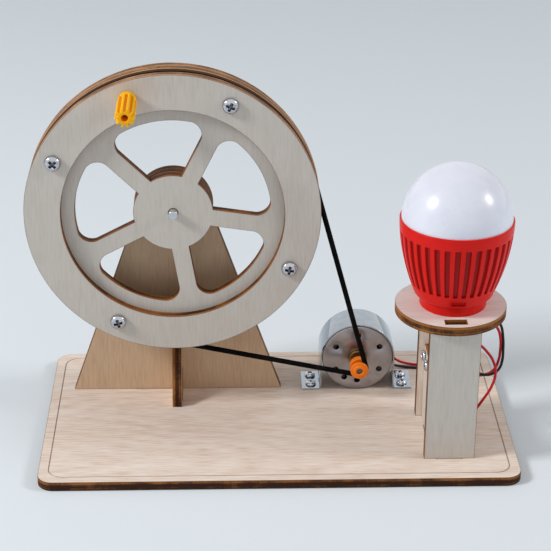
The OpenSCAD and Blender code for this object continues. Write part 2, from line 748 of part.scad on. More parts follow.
module crank_knob() color(orange) translate([crank_x, 0, crank_z]) {
    tip_r = knob_d / 2;
    root_r = tip_r - tooth_depth;
    tooth_sink = 0.2;
    foot_r = root_r - tooth_sink;
    sheet_xz(knob_front, knob_back - knob_collar) difference() {
        union() {
            circle(root_r);
            for (k = [0 : tooth_count - 1])
                rotate(360 / tooth_count * k)
                    polygon([[foot_r, -tooth_foot_w / 2], [tip_r, -tooth_tip_w / 2],
                        [tip_r, tooth_tip_w / 2], [foot_r, tooth_foot_w / 2]]);
        }
        circle(r = pin_d / 2 + run_fit);
    }
    sheet_xz(knob_back - knob_collar, knob_back) difference() {
        circle(d = knob_collar_d);
        circle(r = pin_d / 2 + run_fit);
    }
}

// Motor

module motor_can() color("gainsboro") at_motor() difference() {
    turned_y() polygon([[0, 0], [motor_r - can_edge, 0], [motor_r, can_edge], [motor_r, can_len],
        [can_inner_r, can_len], [can_inner_r, can_wall], [0, can_wall]]);
    rod_y(bearing_d + 2 * seat_gap, -cut, can_wall + cut);
    for (k = [0 : face_hole_count - 1])
        face_hole(360 / face_hole_count * (k + 0.5));
    face_hole(odd_hole_turn);
}

// Hole in the motor's face at an angle from the right
module face_hole(turn)
    rotate([0, -turn, 0]) translate([face_circle_d / 2, 0, 0]) rod_y(face_hole_d, -cut, can_wall + cut);

module motor_bearing() color("goldenrod") at_motor() translate([0, -bearing_nose, 0]) turned_y()
    translate([shaft_d / 2 + run_fit, 0])
        square([(bearing_d - shaft_d) / 2 - run_fit, bearing_nose + bearing_len]);

module motor_magnets() color("dimgray") at_motor() translate([0, can_wall + run_gap, 0])
    rotate([-90, 0, 0])
        for (a = [0, 180])
            rotate(a - magnet_arc / 2) rotate_extrude(angle = magnet_arc)
                translate([magnet_inner_r, 0]) square([magnet_t, can_len - can_wall - magnet_rest]);

module motor_end_cap() color("white") at_motor() translate([0, can_len, 0]) turned_y()
    difference() {
        union() {
            square([motor_r, cap_t]);
            square([bearing_d / 2, cap_t + cap_boss]);
        }
        translate([0, -cut]) square([shaft_d / 2 + run_fit, cap_t + cut]);
    }

// Two leaf springs that lie beside the commutator
module motor_brushes() color("peru") at_motor()
    for (side = [-1, 1])
        translate([side * (commutator_d / 2 + run_gap + brush_t / 2) - brush_t / 2,
            commutator_from, -brush_w / 2])
            cube([brush_t, can_len - commutator_from, brush_w]);

module motor_terminals() color("gold") at_motor()
    for (z = tab_heights)
        translate([tab_x, motor_len, z - tab_w / 2]) cube([tab_t, tab_len, tab_w]);

module motor_shaft() color(steel) translate([motor_x, 0, motor_z])
    rod_y(shaft_d, shaft_tip, motor_back - run_gap);

// Place of the armature's core, whose outline is drawn in X and Z
module on_armature(from, to) at_motor() sheet_xz(from, to) children();

module armature_core() color("slategray") on_armature(core_from, core_from + core_len) difference() {
    union() {
        circle(pole_hub_r);
        for (k = [0 : pole_count - 1])
            rotate(90 + 360 / pole_count * k) {
                translate([0, -pole_neck_w / 2]) square([armature_r - pole_shoe_t / 2, pole_neck_w]);
                intersection() {
                    difference() {
                        circle(armature_r);
                        circle(armature_r - pole_shoe_t);
                    }
                    wedge(armature_r, -pole_arc / 2, pole_arc / 2);
                }
            }
    }
    circle(d = shaft_d + 2 * seat_gap);
}

module armature_windings() color("darkorange") at_motor()
    for (k = [0 : pole_count - 1])
        rotate([0, -90 - 360 / pole_count * k, 0]) difference() {
            translate([winding_low, core_from - winding_over, -winding_w / 2])
                cube([winding_high - winding_low, core_len + 2 * winding_over, winding_w]);
            translate([winding_low - cut, core_from - seat_gap, -pole_neck_w / 2 - seat_gap])
                cube([winding_high - winding_low + 2 * cut, core_len + 2 * seat_gap,
                    pole_neck_w + 2 * seat_gap]);
        }

module commutator() color("chocolate") on_armature(commutator_from, commutator_from + commutator_len)
    difference() {
        circle(d = commutator_d);
        circle(d = shaft_d + 2 * seat_gap);
    }

// Belt drive

module pulley() color(orange) translate([motor_x, pulley_tip, motor_z]) turned_y() {
    bore_r = shaft_d / 2 + seat_gap;
    front = pulley_boss_h + pulley_front_t;
    back = front + pulley_slot;
    rear = back + pulley_rear_t;
    polygon([[bore_r, 0], [pulley_boss_d / 2, 0], [pulley_boss_d / 2, pulley_boss_h],
        [pulley_d / 2, pulley_boss_h], [pulley_d / 2, front], [pulley_groove_d / 2, front],
        [pulley_groove_d / 2, back], [pulley_d / 2, back], [pulley_d / 2, rear], [bore_r, rear]]);
}

// Closed loop of round belt: two straight runs that end a little inside the arcs round the two wheels
module drive_belt() color("black") {
    translate([wheel_x, groove_y, axle_z]) rotate([90, 0, 0]) rotate(belt_line) {
        rotate(90 - belt_lean) rotate_extrude(angle = 180 + 2 * belt_lean)
            translate([belt_on_wheel_r, 0]) circle(d = belt_d, $fn = 24);
        translate([belt_span, 0, 0]) rotate(-90 + belt_lean) rotate_extrude(angle = 180 - 2 * belt_lean)
            translate([belt_on_pulley_r, 0]) circle(d = belt_d, $fn = 24);
        for (side = [-1, 1])
            rotate(side * (90 - belt_lean)) translate([belt_on_wheel_r, 0, 0]) rotate([side * 90, 0, 0])
                translate([0, 0, -belt_lap])
                    cylinder(d = belt_d - belt_slim, h = belt_run + 2 * belt_lap, $fn = 24);
    }
}

// Motor strap

module motor_strap() color("lightsteelblue") difference() {
    translate([motor_x, 0, base_top]) sheet_xz(motor_front, motor_back) {
        centre = motor_z - base_top;
        difference() {
            union() {
                translate([0, centre]) circle(strap_outer_r);
                translate([-strap_outer_r, 0]) square([2 * strap_outer_r, centre]);
            }
            translate([0, centre]) circle(strap_inner_r);
            translate([-strap_inner_r, -cut]) square([2 * strap_inner_r, centre + cut]);
        }
        for (x = [-strap_outer_r - ear_len, strap_inner_r])
            translate([x, 0]) square([ear_len + strap_t, strap_t]);
    }
    at_strap_screws() translate([0, 0, -cut])
        cylinder(d = strap_screw_d + 2 * seat_gap, h = strap_t + 2 * cut);
}

// Moves to each strap screw, on the base's top
module at_strap_screws()
    for (x = [-1, 1], y = [-1, 1])
        translate([motor_x + x * ear_mid, motor_front + motor_len / 2 + y * ear_pitch / 2, base_top])
            children();

module strap_screws() color(steel) at_strap_screws() translate([0, 0, strap_t])
    pan_screw(strap_head_d, strap_head_h, strap_screw_d, strap_t + ply - strap_screw_rest - seat_gap);

// Lamp post

module post_front_panel() post_panel(front_panel_y);

module post_rear_panel() post_panel(rear_panel_y);

module post_web() color(wood) difference() {
    sheet_yz(web_x, web_x + ply) {
        translate([web_front, base_top]) square([web_len, web_h]);
        translate([web_front + web_len / 2 - web_tab_len / 2, 0]) square([web_tab_len, base_top]);
    }
    at_terminals() translate([0, 0, -ply - cut]) cylinder(d = terminal_d + 2 * seat_gap, h = ply + 2 * cut);
}

// Moves to each terminal, with its screw along -Z and the web's left face at z = 0
module at_terminals()
    for (y = terminal_ys)
        translate([web_x, y, terminal_z]) rotate([0, -90, 0]) children();

module terminal_screws() color(steel) at_terminals()
    pan_screw(terminal_head_d, terminal_head_h, terminal_d, ply + nut_t + terminal_nose);

// Hexagon nuts with two level flats, which hold the wires' ends
module terminal_nuts() color("gold") at_terminals() translate([0, 0, -ply - nut_t])
    linear_extrude(nut_t) difference() {
        rotate(30) circle(d = nut_w / cos(30), $fn = 6);
        circle(d = terminal_d + 2 * seat_gap);
    }

module lamp_disc() color("bisque") translate([post_x, disc_y, disc_low]) linear_extrude(ply) difference() {
    circle(d = disc_d);
    circle(d = wire_hole_d);
    for (y = [front_panel_y, rear_panel_y])
        translate([-disc_tab_w / 2 - slot_gap, y - disc_y - slot_gap])
            square([disc_tab_w + 2 * slot_gap, ply + 2 * slot_gap]);
}

// Bulb

// Outline of the shell from its lower end to its rim, moved inwards by a wall
function shell_curve(wall, h0, h1) = [for (i = [0 : shell_steps])
    let (h = h0 + (h1 - h0) * i / shell_steps) [shell_at(h) - wall, shell_low_z + h]];

module bulb_shell() color("red") translate([bulb_x, disc_y, 0]) difference() {
    neck_r = neck_d / 2;
    ledge_h = board_rise - board_ledge;
    skirt_from = shell_h - skirt_h;
    rotate_extrude() polygon(concat(
        [[wire_hole_d / 2, disc_top], [neck_r, disc_top], [neck_r, shell_low_z]],
        shell_curve(0, 0, shell_h),
        [[shell_r - lip_t, rim_z], [shell_r - lip_t, shell_low_z + skirt_from]],
        shell_curve(shell_wall, skirt_from, board_rise),
        [[shell_at(board_rise) - shell_wall - board_ledge, board_z]],
        shell_curve(shell_wall, ledge_h, shell_wall),
        [[neck_r - shell_wall, shell_low_z], [neck_r - shell_wall, disc_top + floor_t],
            [wire_hole_d / 2, disc_top + floor_t]]));
    step = 360 / slot_count;
    for (k = [0 : slot_count - 1])
        rotate(-90 + step * (k + 0.5 - slot_share / 2)) rotate_extrude(angle = step * slot_share)
            polygon(concat(shell_curve(slot_depth, slot_low, shell_h - slot_high),
                [[shell_r + cut, rim_z - slot_high], [shell_r + cut, shell_low_z + slot_low]]));
    translate([-snap_w / 2, -shell_at(snap_h) - cut, shell_low_z + snap_h / 2])
        cube([snap_w, cut + slot_depth, snap_h]);
}

module bulb_dome() color("ghostwhite") translate([bulb_x, disc_y, 0]) rotate_extrude() {
    skirt_low = rim_z - skirt_h + seat_gap;
    inside = dome_curve(dome_wall);
    polygon(concat([[dome_rim_r, skirt_low]], dome_curve(0), turned_round(inside),
        [[inside[0][0], skirt_low]]));
}

module lamp_board() color("white") translate([bulb_x, disc_y, board_z])
    cylinder(r = shell_at(board_rise) - shell_wall - seat_gap, h = board_t);

module lamp_diode() color("lightyellow") translate([bulb_x, disc_y, board_z + board_t]) {
    cylinder(d = led_d + led_foot, h = led_foot);
    translate([0, 0, led_foot]) cylinder(d = led_d, h = led_h);
    translate([0, 0, led_foot + led_h]) intersection() {
        sphere(d = led_d);
        translate([-led_d, -led_d, 0]) cube(2 * led_d);
    }
}

// Wires

module motor_lead_red() color("crimson") wire(motor_red_route);

module motor_lead_black() color("black") wire(motor_black_route);

module lamp_lead_red() color("crimson") wire(lamp_red_route);

module lamp_lead_black() color("black") wire(lamp_black_route);

base_plate();
upright();
brace();
axle_bush();
front_ring();
spoke_plate();
middle_ring();
rear_ring();
hub_disc_front();
hub_disc_rear();
wheel_axle();
axle_collar();
rim_screws();
crank_pin();
crank_knob();
motor_can();
motor_bearing();
motor_magnets();
motor_end_cap();
motor_brushes();
motor_terminals();
motor_shaft();
armature_core();
armature_windings();
commutator();
pulley();
drive_belt();
motor_strap();
strap_screws();
post_front_panel();
post_rear_panel();
post_web();
terminal_screws();
terminal_nuts();
lamp_disc();
bulb_shell();
bulb_dome();
lamp_board();
lamp_diode();
motor_lead_red();
motor_lead_black();
lamp_lead_red();
lamp_lead_black();
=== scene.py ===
"""Looks of a hand-crank generator kit: laser-cut birch stand and flywheel, belt, small motor and bulb lamp.

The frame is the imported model's: origin in the middle of the base's underside, +Z up, -Y the front.
Shapes are worked out in millimetres and put into their meshes in metres.
"""
import json

import bmesh
import bpy
import numpy as np
from mathutils import Matrix, Vector
from mathutils.geometry import delaunay_2d_cdt

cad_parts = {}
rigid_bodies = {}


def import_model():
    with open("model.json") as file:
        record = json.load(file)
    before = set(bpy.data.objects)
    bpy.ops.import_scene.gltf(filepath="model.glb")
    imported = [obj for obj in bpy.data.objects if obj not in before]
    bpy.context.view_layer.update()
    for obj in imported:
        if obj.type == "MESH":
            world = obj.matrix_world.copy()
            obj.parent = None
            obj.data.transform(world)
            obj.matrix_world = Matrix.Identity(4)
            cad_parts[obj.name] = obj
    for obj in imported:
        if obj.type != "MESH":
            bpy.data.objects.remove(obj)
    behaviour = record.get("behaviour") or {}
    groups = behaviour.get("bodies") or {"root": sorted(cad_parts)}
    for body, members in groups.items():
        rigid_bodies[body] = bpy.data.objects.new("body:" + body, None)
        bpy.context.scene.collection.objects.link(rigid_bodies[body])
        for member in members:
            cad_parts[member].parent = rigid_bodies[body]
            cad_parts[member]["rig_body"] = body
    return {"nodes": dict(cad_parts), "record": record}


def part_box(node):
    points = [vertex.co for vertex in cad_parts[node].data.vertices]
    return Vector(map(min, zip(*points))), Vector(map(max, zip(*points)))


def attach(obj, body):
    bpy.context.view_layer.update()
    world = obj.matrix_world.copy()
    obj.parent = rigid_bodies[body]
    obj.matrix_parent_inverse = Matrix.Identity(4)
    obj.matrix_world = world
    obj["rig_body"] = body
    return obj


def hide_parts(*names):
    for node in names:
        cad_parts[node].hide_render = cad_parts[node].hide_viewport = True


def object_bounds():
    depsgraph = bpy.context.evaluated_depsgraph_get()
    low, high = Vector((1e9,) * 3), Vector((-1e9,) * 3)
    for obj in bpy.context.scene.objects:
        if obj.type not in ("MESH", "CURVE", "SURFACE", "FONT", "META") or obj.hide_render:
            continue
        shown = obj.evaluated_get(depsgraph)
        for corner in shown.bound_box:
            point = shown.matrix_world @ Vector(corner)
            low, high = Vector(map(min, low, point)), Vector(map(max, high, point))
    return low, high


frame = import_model()
cad_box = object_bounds()

MM = 0.001
SLOT_OF = {row["node"]: row["material_slot"] for row in frame["record"]["subparts"]}


# Places taken from the frame, in millimetres

def span(node, axis):
    """Lowest and highest coordinate of a node along an axis."""
    low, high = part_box(node)
    return low[axis] / MM, high[axis] / MM


def middle(node):
    """Middle of a node's box."""
    low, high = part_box(node)
    return np.array((low + high) / 2) / MM


def half_span(node, axis):
    """Half of a node's reach along an axis."""
    low, high = span(node, axis)
    return (high - low) / 2


X, Y, Z = 0, 1, 2
WHEEL = middle("front_ring")
MOTOR = middle("motor_can")
CRANK = middle("crank_knob")
BULB = middle("bulb_dome")
PLY = span("base_plate", Z)[1] - span("base_plate", Z)[0]
BASE_TOP = span("base_plate", Z)[1]


# Camera

CAMERA_PLACE = (-0.016475, -0.496343, 0.289524)
CAMERA_PITCH = np.radians(25.428)
CAMERA_YAW = np.radians(1.832)
CAMERA_ROLL = np.radians(0.3217)
CAMERA_LENS = 111.81
CAMERA_SENSOR = 36.0


def make_camera():
    """Camera that looks along +Y, turned right by the yaw, down by the pitch and leaning by the roll."""
    data = bpy.data.cameras.new("camera")
    data.sensor_fit = "HORIZONTAL"
    data.sensor_width = CAMERA_SENSOR
    data.lens = CAMERA_LENS
    camera = bpy.data.objects.new("camera", data)
    turn = Matrix.Rotation(-CAMERA_YAW, 4, "Z")
    tilt = Matrix.Rotation(np.pi / 2 - CAMERA_PITCH, 4, "X")
    lean = Matrix.Rotation(CAMERA_ROLL, 4, "Z")
    camera.matrix_world = Matrix.Translation(CAMERA_PLACE) @ turn @ tilt @ lean
    bpy.context.scene.collection.objects.link(camera)
    bpy.context.scene.camera = camera


make_camera()


# Shader tools

def tint(red, green, blue):
    """Linear colour of a display colour given from 0 to 255."""
    shown = np.array([red, green, blue]) / 255
    linear = np.where(shown <= 0.04045, shown / 12.92, ((shown + 0.055) / 1.055) ** 2.4)
    return (*linear, 1.0)


def node(tree, kind, inputs=None, **settings):
    """Adds a shader node with its settings, and links or fills the inputs that are named."""
    made = tree.nodes.new("ShaderNode" + kind)
    for name, value in settings.items():
        setattr(made, name, value)
    for name, value in (inputs or {}).items():
        if isinstance(value, bpy.types.NodeSocket):
            tree.links.new(value, made.inputs[name])
        else:
            made.inputs[name].default_value = value
    return made


def math(tree, operation, first, second=0.0):
    """One sum on one or two values."""
    return node(tree, "Math", {0: first, 1: second}, operation=operation).outputs[0]


def between(tree, value, low, high):
    """Value from 0 below low to 1 above high, smooth in between."""
    inputs = {"Value": value, "From Min": low, "From Max": high}
    return node(tree, "MapRange", inputs, interpolation_type="SMOOTHSTEP").outputs["Result"]


def blend(tree, share, first, second, mode="MIX"):
    """Colour mixed from two by a share."""
    inputs = {"Fac": share, "Color1": first, "Color2": second}
    return node(tree, "MixRGB", inputs, blend_type=mode).outputs["Color"]


def noise(tree, vector, stretch, detail=2.0, distortion=0.0):
    """Noise on a vector stretched by three factors."""
    scaled = node(tree, "Mapping", {"Vector": vector, "Scale": stretch}).outputs["Vector"]
    inputs = {"Vector": scaled, "Scale": 1.0, "Detail": detail, "Distortion": distortion}
    return node(tree, "TexNoise", inputs).outputs["Fac"]


def new_group(name, inputs, outputs):
    """Empty shader node group with named sockets, with its input and output sockets."""
    tree = bpy.data.node_groups.new(name, "ShaderNodeTree")
    for socket, kind in inputs.items():
        tree.interface.new_socket(socket, in_out="INPUT", socket_type="NodeSocket" + kind)
    for socket, kind in outputs.items():
        tree.interface.new_socket(socket, in_out="OUTPUT", socket_type="NodeSocket" + kind)
    return tree, tree.nodes.new("NodeGroupInput").outputs, tree.nodes.new("NodeGroupOutput").inputs


def new_material(name, constants):
    """Material with one Principled shader, whose constants are set on the shader's own sockets."""
    material = bpy.data.materials.new(name)
    material.use_nodes = True
    tree = material.node_tree
    shader = tree.nodes["Principled BSDF"]
    for socket, value in constants.items():
        shader.inputs[socket].default_value = value
    return material, tree, shader.inputs


def bump(tree, height, strength, depth_mm):
    """Normal of a surface whose height is given as a share of a depth."""
    inputs = {"Height": height, "Strength": strength, "Distance": depth_mm * MM}
    return node(tree, "Bump", inputs).outputs["Normal"]


def placed_group(tree, group, inputs):
    """Puts a node group into a material, links or fills its inputs and returns its outputs."""
    return node(tree, "Group", inputs, node_tree=group).outputs


def place_mm(tree):
    """Object coordinates in millimetres."""
    place = node(tree, "TexCoord").outputs["Object"]
    return node(tree, "VectorMath", {0: place, "Scale": 1 / MM}, operation="SCALE").outputs["Vector"]


# Effects that several finishes share

# Hill whose level lines are the birch's arches: millimetres from arch to arch, rise for each millimetre along
# the grain, height of the wave across it, and height of the sway
ARCH_PITCH = 58.0
ARCH_RISE = 0.07
ARCH_WAVE = 4.5
ARCH_SWAY = 9.0


def wood_grain_group():
    """Birch veneer on a vector of millimetres along, across and through the sheet.

    Tone mixes straight grain, made of fine flecks and growth bands, with a share of a figure of nested
    arches. These are the level lines of a hill that rises along the grain, waves across it and sways. Pores
    are short dark dashes.
    """
    tree, given, out = new_group("wood_grain", {"Grain": "Vector", "Figure": "Float"},
                                 {"Tone": "Float", "Pores": "Float", "Height": "Float"})
    flecks = noise(tree, given["Grain"], (0.15, 1.7, 0.6), 4.0)
    growth = noise(tree, given["Grain"], (0.010, 0.17, 0.08), 3.0, 0.6)
    place = node(tree, "SeparateXYZ", {0: given["Grain"]}).outputs
    sway = noise(tree, given["Grain"], (0.014, 0.035, 0.02), 2.0, 0.5)
    wave = math(tree, "COSINE", math(tree, "MULTIPLY", place["Y"], 2 * np.pi / ARCH_PITCH))
    slope = math(tree, "MULTIPLY", place["X"], ARCH_RISE)
    waved = math(tree, "ADD", slope, math(tree, "MULTIPLY", wave, ARCH_WAVE))
    hill = math(tree, "ADD", waved, math(tree, "MULTIPLY", sway, ARCH_SWAY))
    arches = math(tree, "PINGPONG", hill, 1.0)
    dashes = noise(tree, given["Grain"], (0.35, 5.0, 2.0), 1.0)
    straight = math(tree, "ADD", math(tree, "MULTIPLY", flecks, 0.7), math(tree, "MULTIPLY", growth, 0.3))
    wavering = math(tree, "MULTIPLY", math(tree, "SUBTRACT", arches, 0.5), given["Figure"])
    pores = between(tree, dashes, 0.62, 0.74)
    tree.links.new(math(tree, "ADD", straight, wavering), out["Tone"])
    tree.links.new(pores, out["Pores"])
    tree.links.new(math(tree, "SUBTRACT", flecks, math(tree, "MULTIPLY", pores, 0.6)), out["Height"])
    return tree


def laser_cut_group():
    """Burnt edge of laser-cut plywood.

    The wall is amber with charred patches, more so in the middle ply and towards the far face, and darker
    along the glue lines, which lie at every millimetre of depth. Where painted rim light is given, the wall
    is
    paler: painted light. The burn-and-shade mask is 1 on the wall and fades over the face beside the cut; on
    the wheel's groove it paints shade.
    """
    inputs = {"Grain": "Vector", "Burn And Shade": "Float", "Painted Rim Light": "Float", "Char": "Float"}
    outputs = {"Mask": "Float", "Colour": "Color", "Height": "Float"}
    tree, given, out = new_group("laser_cut", inputs, outputs)
    depth = node(tree, "SeparateXYZ", {0: given["Grain"]}).outputs["Z"]
    wander = noise(tree, given["Grain"], (0.8, 0.8, 0.2))
    waved = math(tree, "ADD", depth, math(tree, "MULTIPLY", math(tree, "SUBTRACT", wander, 0.5), 0.16))
    from_line = math(tree, "PINGPONG", waved, 0.5)
    glue = math(tree, "SUBTRACT", 1.0, between(tree, from_line, 0.03, 0.17))
    patches = noise(tree, given["Grain"], (0.12, 0.12, 0.35), 4.0)
    strokes = noise(tree, given["Grain"], (2.2, 2.2, 0.35), 2.0)
    spread = math(tree, "ADD", math(tree, "MULTIPLY", patches, 0.75), math(tree, "MULTIPLY", strokes, 0.22))
    deeper = math(tree, "MULTIPLY", math(tree, "SUBTRACT", depth, PLY / 2), 0.08)
    from_middle = math(tree, "ABSOLUTE", math(tree, "SUBTRACT", waved, PLY / 2))
    outer_ply = between(tree, from_middle, 0.40, 0.60)
    by_depth = math(tree, "SUBTRACT", deeper, math(tree, "MULTIPLY", outer_ply, 0.14))
    char = math(tree, "ADD", math(tree, "ADD", spread, by_depth), given["Char"])
    amber = blend(tree, between(tree, char, 0.30, 0.68), tint(160, 102, 50), tint(52, 26, 11))
    burnt = blend(tree, math(tree, "MULTIPLY", glue, 0.6), amber, tint(38, 17, 8))
    # Painted light: the paler honey wall, where painted rim light is given
    honey = blend(tree, between(tree, char, 0.38, 0.62), tint(206, 164, 126), tint(142, 101, 70))
    pale = blend(tree, math(tree, "MULTIPLY", glue, 0.85), honey, tint(66, 38, 22))
    wall = blend(tree, given["Painted Rim Light"], burnt, pale)
    burn_and_shade_mask = between(tree, given["Burn And Shade"], 0.0, 1.0)
    tree.links.new(burn_and_shade_mask, out["Mask"])
    tree.links.new(wall, out["Colour"])
    tree.links.new(math(tree, "SUBTRACT", strokes, glue), out["Height"])
    return tree


def moulded_skin_group():
    """Skin of moulded plastic: a broad mottle of the melt's flow and a fine orange peel."""
    tree, given, out = new_group("moulded_skin", {"Place": "Vector"}, {"Mottle": "Float", "Height": "Float"})
    mottle = noise(tree, given["Place"], (0.25, 0.25, 0.25), 3.0)
    peel = noise(tree, given["Place"], (3.5, 3.5, 3.5), 2.0)
    tree.links.new(mottle, out["Mottle"])
    tree.links.new(peel, out["Height"])
    return tree


def rubbed_metal_group():
    """Metal that has been handled: soft haze and fine scratches in two crossing directions."""
    tree, given, out = new_group("rubbed_metal", {"Place": "Vector"}, {"Haze": "Float", "Scratches": "Float"})
    haze = noise(tree, given["Place"], (0.35, 0.35, 0.35), 4.0)
    first = noise(tree, given["Place"], (0.5, 9.0, 14.0), 1.0)
    second = noise(tree, given["Place"], (11.0, 0.6, 7.0), 1.0)
    tree.links.new(haze, out["Haze"])
    tree.links.new(math(tree, "MULTIPLY", first, second), out["Scratches"])
    return tree


WOOD_GRAIN = wood_grain_group()
LASER_CUT = laser_cut_group()
MOULDED_SKIN = moulded_skin_group()
RUBBED_METAL = rubbed_metal_group()


# Finishes, one for each material slot

def birch(name, pale, middling, deep, figure, char):
    """Birch plywood between three tones, with burnt edges, painted shade and painted rim light from the
    sheet's own attributes.
    """
    material, tree, shader = new_material(name, {"Specular IOR Level": 0.18})
    grain = node(tree, "Attribute", attribute_name="grain").outputs["Vector"]
    burn_and_shade = node(tree, "Attribute", attribute_name="burn_and_shade").outputs["Fac"]
    painted_rim_light = node(tree, "Attribute", attribute_name="painted_rim_light").outputs["Fac"]
    wood = placed_group(tree, WOOD_GRAIN, {"Grain": grain, "Figure": figure})
    cut = placed_group(tree, LASER_CUT, {"Grain": grain, "Burn And Shade": burn_and_shade, "Painted Rim Light": painted_rim_light, "Char": char})
    lower = blend(tree, between(tree, wood["Tone"], 0.32, 0.52), deep, middling)
    face = blend(tree, between(tree, wood["Tone"], 0.46, 0.68), lower, pale)
    pored = blend(tree, math(tree, "MULTIPLY", wood["Pores"], 0.35), face, deep)
    # The cut's colour carries painted rim light and painted groove shade as well as the burn
    colour = blend(tree, cut["Mask"], pored, cut["Colour"])
    height = math(tree, "ADD", wood["Height"], math(tree, "MULTIPLY", cut["Height"], cut["Mask"]))
    rough = math(tree, "ADD", 0.56, math(tree, "MULTIPLY", wood["Tone"], 0.22))
    tree.links.new(colour, shader["Base Color"])
    tree.links.new(rough, shader["Roughness"])
    tree.links.new(bump(tree, height, 0.35, 0.05), shader["Normal"])
    return material


def plastic(name, colour, shade, roughness, gloss=0.5, peel=0.02, glow=0.0):
    """Moulded plastic: its colour drifts a little towards a shade, which also fills marked recesses as
    painted shade.

    A share of the light, the glow, sinks in and comes out nearby, red furthest.
    """
    material, tree, shader = new_material(name, {
        "Specular IOR Level": gloss, "Subsurface Weight": glow, "Subsurface Radius": (1.0, 0.5, 0.1),
        "Subsurface Scale": 0.002})
    skin = placed_group(tree, MOULDED_SKIN, {"Place": place_mm(tree)})
    recess = node(tree, "Attribute", attribute_name="recess").outputs["Fac"]
    drift = math(tree, "MULTIPLY", between(tree, skin["Mottle"], 0.3, 0.75), 0.08)
    # Painted shade: marked recesses take the shade colour
    shaded = math(tree, "MAXIMUM", drift, recess)
    tree.links.new(blend(tree, shaded, colour, shade), shader["Base Color"])
    rough = math(tree, "ADD", roughness, math(tree, "MULTIPLY", skin["Mottle"], 0.12))
    tree.links.new(rough, shader["Roughness"])
    tree.links.new(bump(tree, skin["Height"], 0.25, peel), shader["Normal"])
    return material


def metal(name, colour, dull, roughness, spread=0.15, depth=0.01):
    """Bare or plated metal: haze mixes in a dull, rougher colour, and marked recesses are darkened as painted
    shade.
    """
    material, tree, shader = new_material(name, {"Metallic": 1.0})
    rubbed = placed_group(tree, RUBBED_METAL, {"Place": place_mm(tree)})
    haze = between(tree, rubbed["Haze"], 0.3, 0.75)
    recess = node(tree, "Attribute", attribute_name="recess").outputs["Fac"]
    hazy = blend(tree, haze, colour, dull)
    # Painted shade: marked recesses darken towards near black
    tree.links.new(blend(tree, recess, hazy, tint(30, 30, 33)), shader["Base Color"])
    tree.links.new(math(tree, "ADD", roughness, math(tree, "MULTIPLY", haze, spread)), shader["Roughness"])
    tree.links.new(bump(tree, rubbed["Scratches"], 0.1, depth), shader["Normal"])
    return material


def rubber(name):
    """Matt black rubber, greyer where it has rubbed and dusted."""
    material, tree, shader = new_material(name, {"Specular IOR Level": 0.03})
    skin = placed_group(tree, MOULDED_SKIN, {"Place": place_mm(tree)})
    dust = between(tree, skin["Mottle"], 0.35, 0.8)
    tree.links.new(blend(tree, dust, tint(12, 12, 14), tint(26, 25, 26)), shader["Base Color"])
    tree.links.new(math(tree, "ADD", 0.70, math(tree, "MULTIPLY", dust, 0.2)), shader["Roughness"])
    tree.links.new(bump(tree, skin["Height"], 0.4, 0.05), shader["Normal"])
    return material


def frosted(name):
    """Milky diffuser: light sinks into the white plastic and its skin is finely satin."""
    material, tree, shader = new_material(name, {
        "Subsurface Weight": 0.2, "Subsurface Radius": (0.8, 0.9, 1.0), "Subsurface Scale": 0.004,
        "Coat Weight": 0.2, "Coat Roughness": 0.16})
    skin = placed_group(tree, MOULDED_SKIN, {"Place": place_mm(tree)})
    drift = between(tree, skin["Mottle"], 0.3, 0.8)
    # Painted light: the faint blue of this white is the cast of blue surroundings
    tree.links.new(blend(tree, drift, tint(236, 240, 255), tint(231, 235, 253)), shader["Base Color"])
    tree.links.new(math(tree, "ADD", 0.26, math(tree, "MULTIPLY", skin["Mottle"], 0.04)), shader["Roughness"])
    tree.links.new(bump(tree, skin["Height"], 0.08, 0.01), shader["Normal"])
    return material


FINISHES = {
    "base_plywood": birch(
        "birch_base", tint(242, 230, 220), tint(233, 216, 202), tint(219, 197, 180), 0.09, 0.22),
    "plywood": birch(
        "birch_frame", tint(209, 204, 197), tint(205, 199, 191), tint(199, 192, 183), 0.05, 0.10),
    "white_nylon": plastic("nylon", tint(232, 231, 226), tint(214, 212, 204), 0.42),
    "bright_steel": metal("drawn_steel", tint(206, 208, 212), tint(190, 192, 196), 0.18, 0.06),
    "screw_chrome": metal("plated_screw", tint(192, 195, 202), tint(180, 183, 190), 0.12, 0.06, 0.004),
    "motor_steel": metal("motor_plate", tint(166, 162, 164), tint(154, 150, 152), 0.30, 0.08, 0.01),
    "strap_metal": metal("strap_sheet", tint(166, 173, 181), tint(156, 163, 171), 0.10, 0.05, 0.004),
    "brass": metal("tab_brass", tint(176, 140, 84), tint(132, 98, 56), 0.26),
    "dark_magnet": plastic("ferrite", tint(52, 52, 55), tint(36, 36, 38), 0.6),
    "copper_wire": metal("enamelled_copper", tint(196, 112, 58), tint(150, 78, 38), 0.28),
    "orange_plastic": plastic("orange_moulding", tint(255, 130, 0), tint(222, 80, 0), 0.30, 0.4),
    "yellow_plastic": plastic("yellow_moulding", tint(255, 188, 22), tint(248, 132, 6), 0.48, 0.12, glow=0.6),
    "black_rubber": rubber("belt_rubber"),
    "red_plastic": plastic("red_moulding", tint(224, 20, 10), tint(120, 5, 12), 0.34, 0.2),
    "frosted_dome": frosted("frosted_diffuser"),
    "diode_lens": plastic("diode_resin", tint(244, 238, 208), tint(228, 216, 170), 0.12),
    "red_insulation": plastic("red_sleeve", tint(200, 26, 32), tint(150, 12, 20), 0.36, 0.3),
    "black_insulation": plastic("black_sleeve", tint(24, 24, 28), tint(12, 12, 14), 0.38, 0.25),
}

# The stand's sheets come from a browner board than the wheel's, and are darker as painted shade from the
# wheel above them; the lamp's disc comes from a paler board
WARM_SHADED_BIRCH = birch("birch_stand", tint(217, 190, 161), tint(211, 182, 152), tint(201, 170, 139), 0.05, 0.12)
PALE_BIRCH = birch("birch_disc", tint(234, 230, 226), tint(228, 222, 216), tint(218, 210, 202), 0.06, 0.06)


# Wires

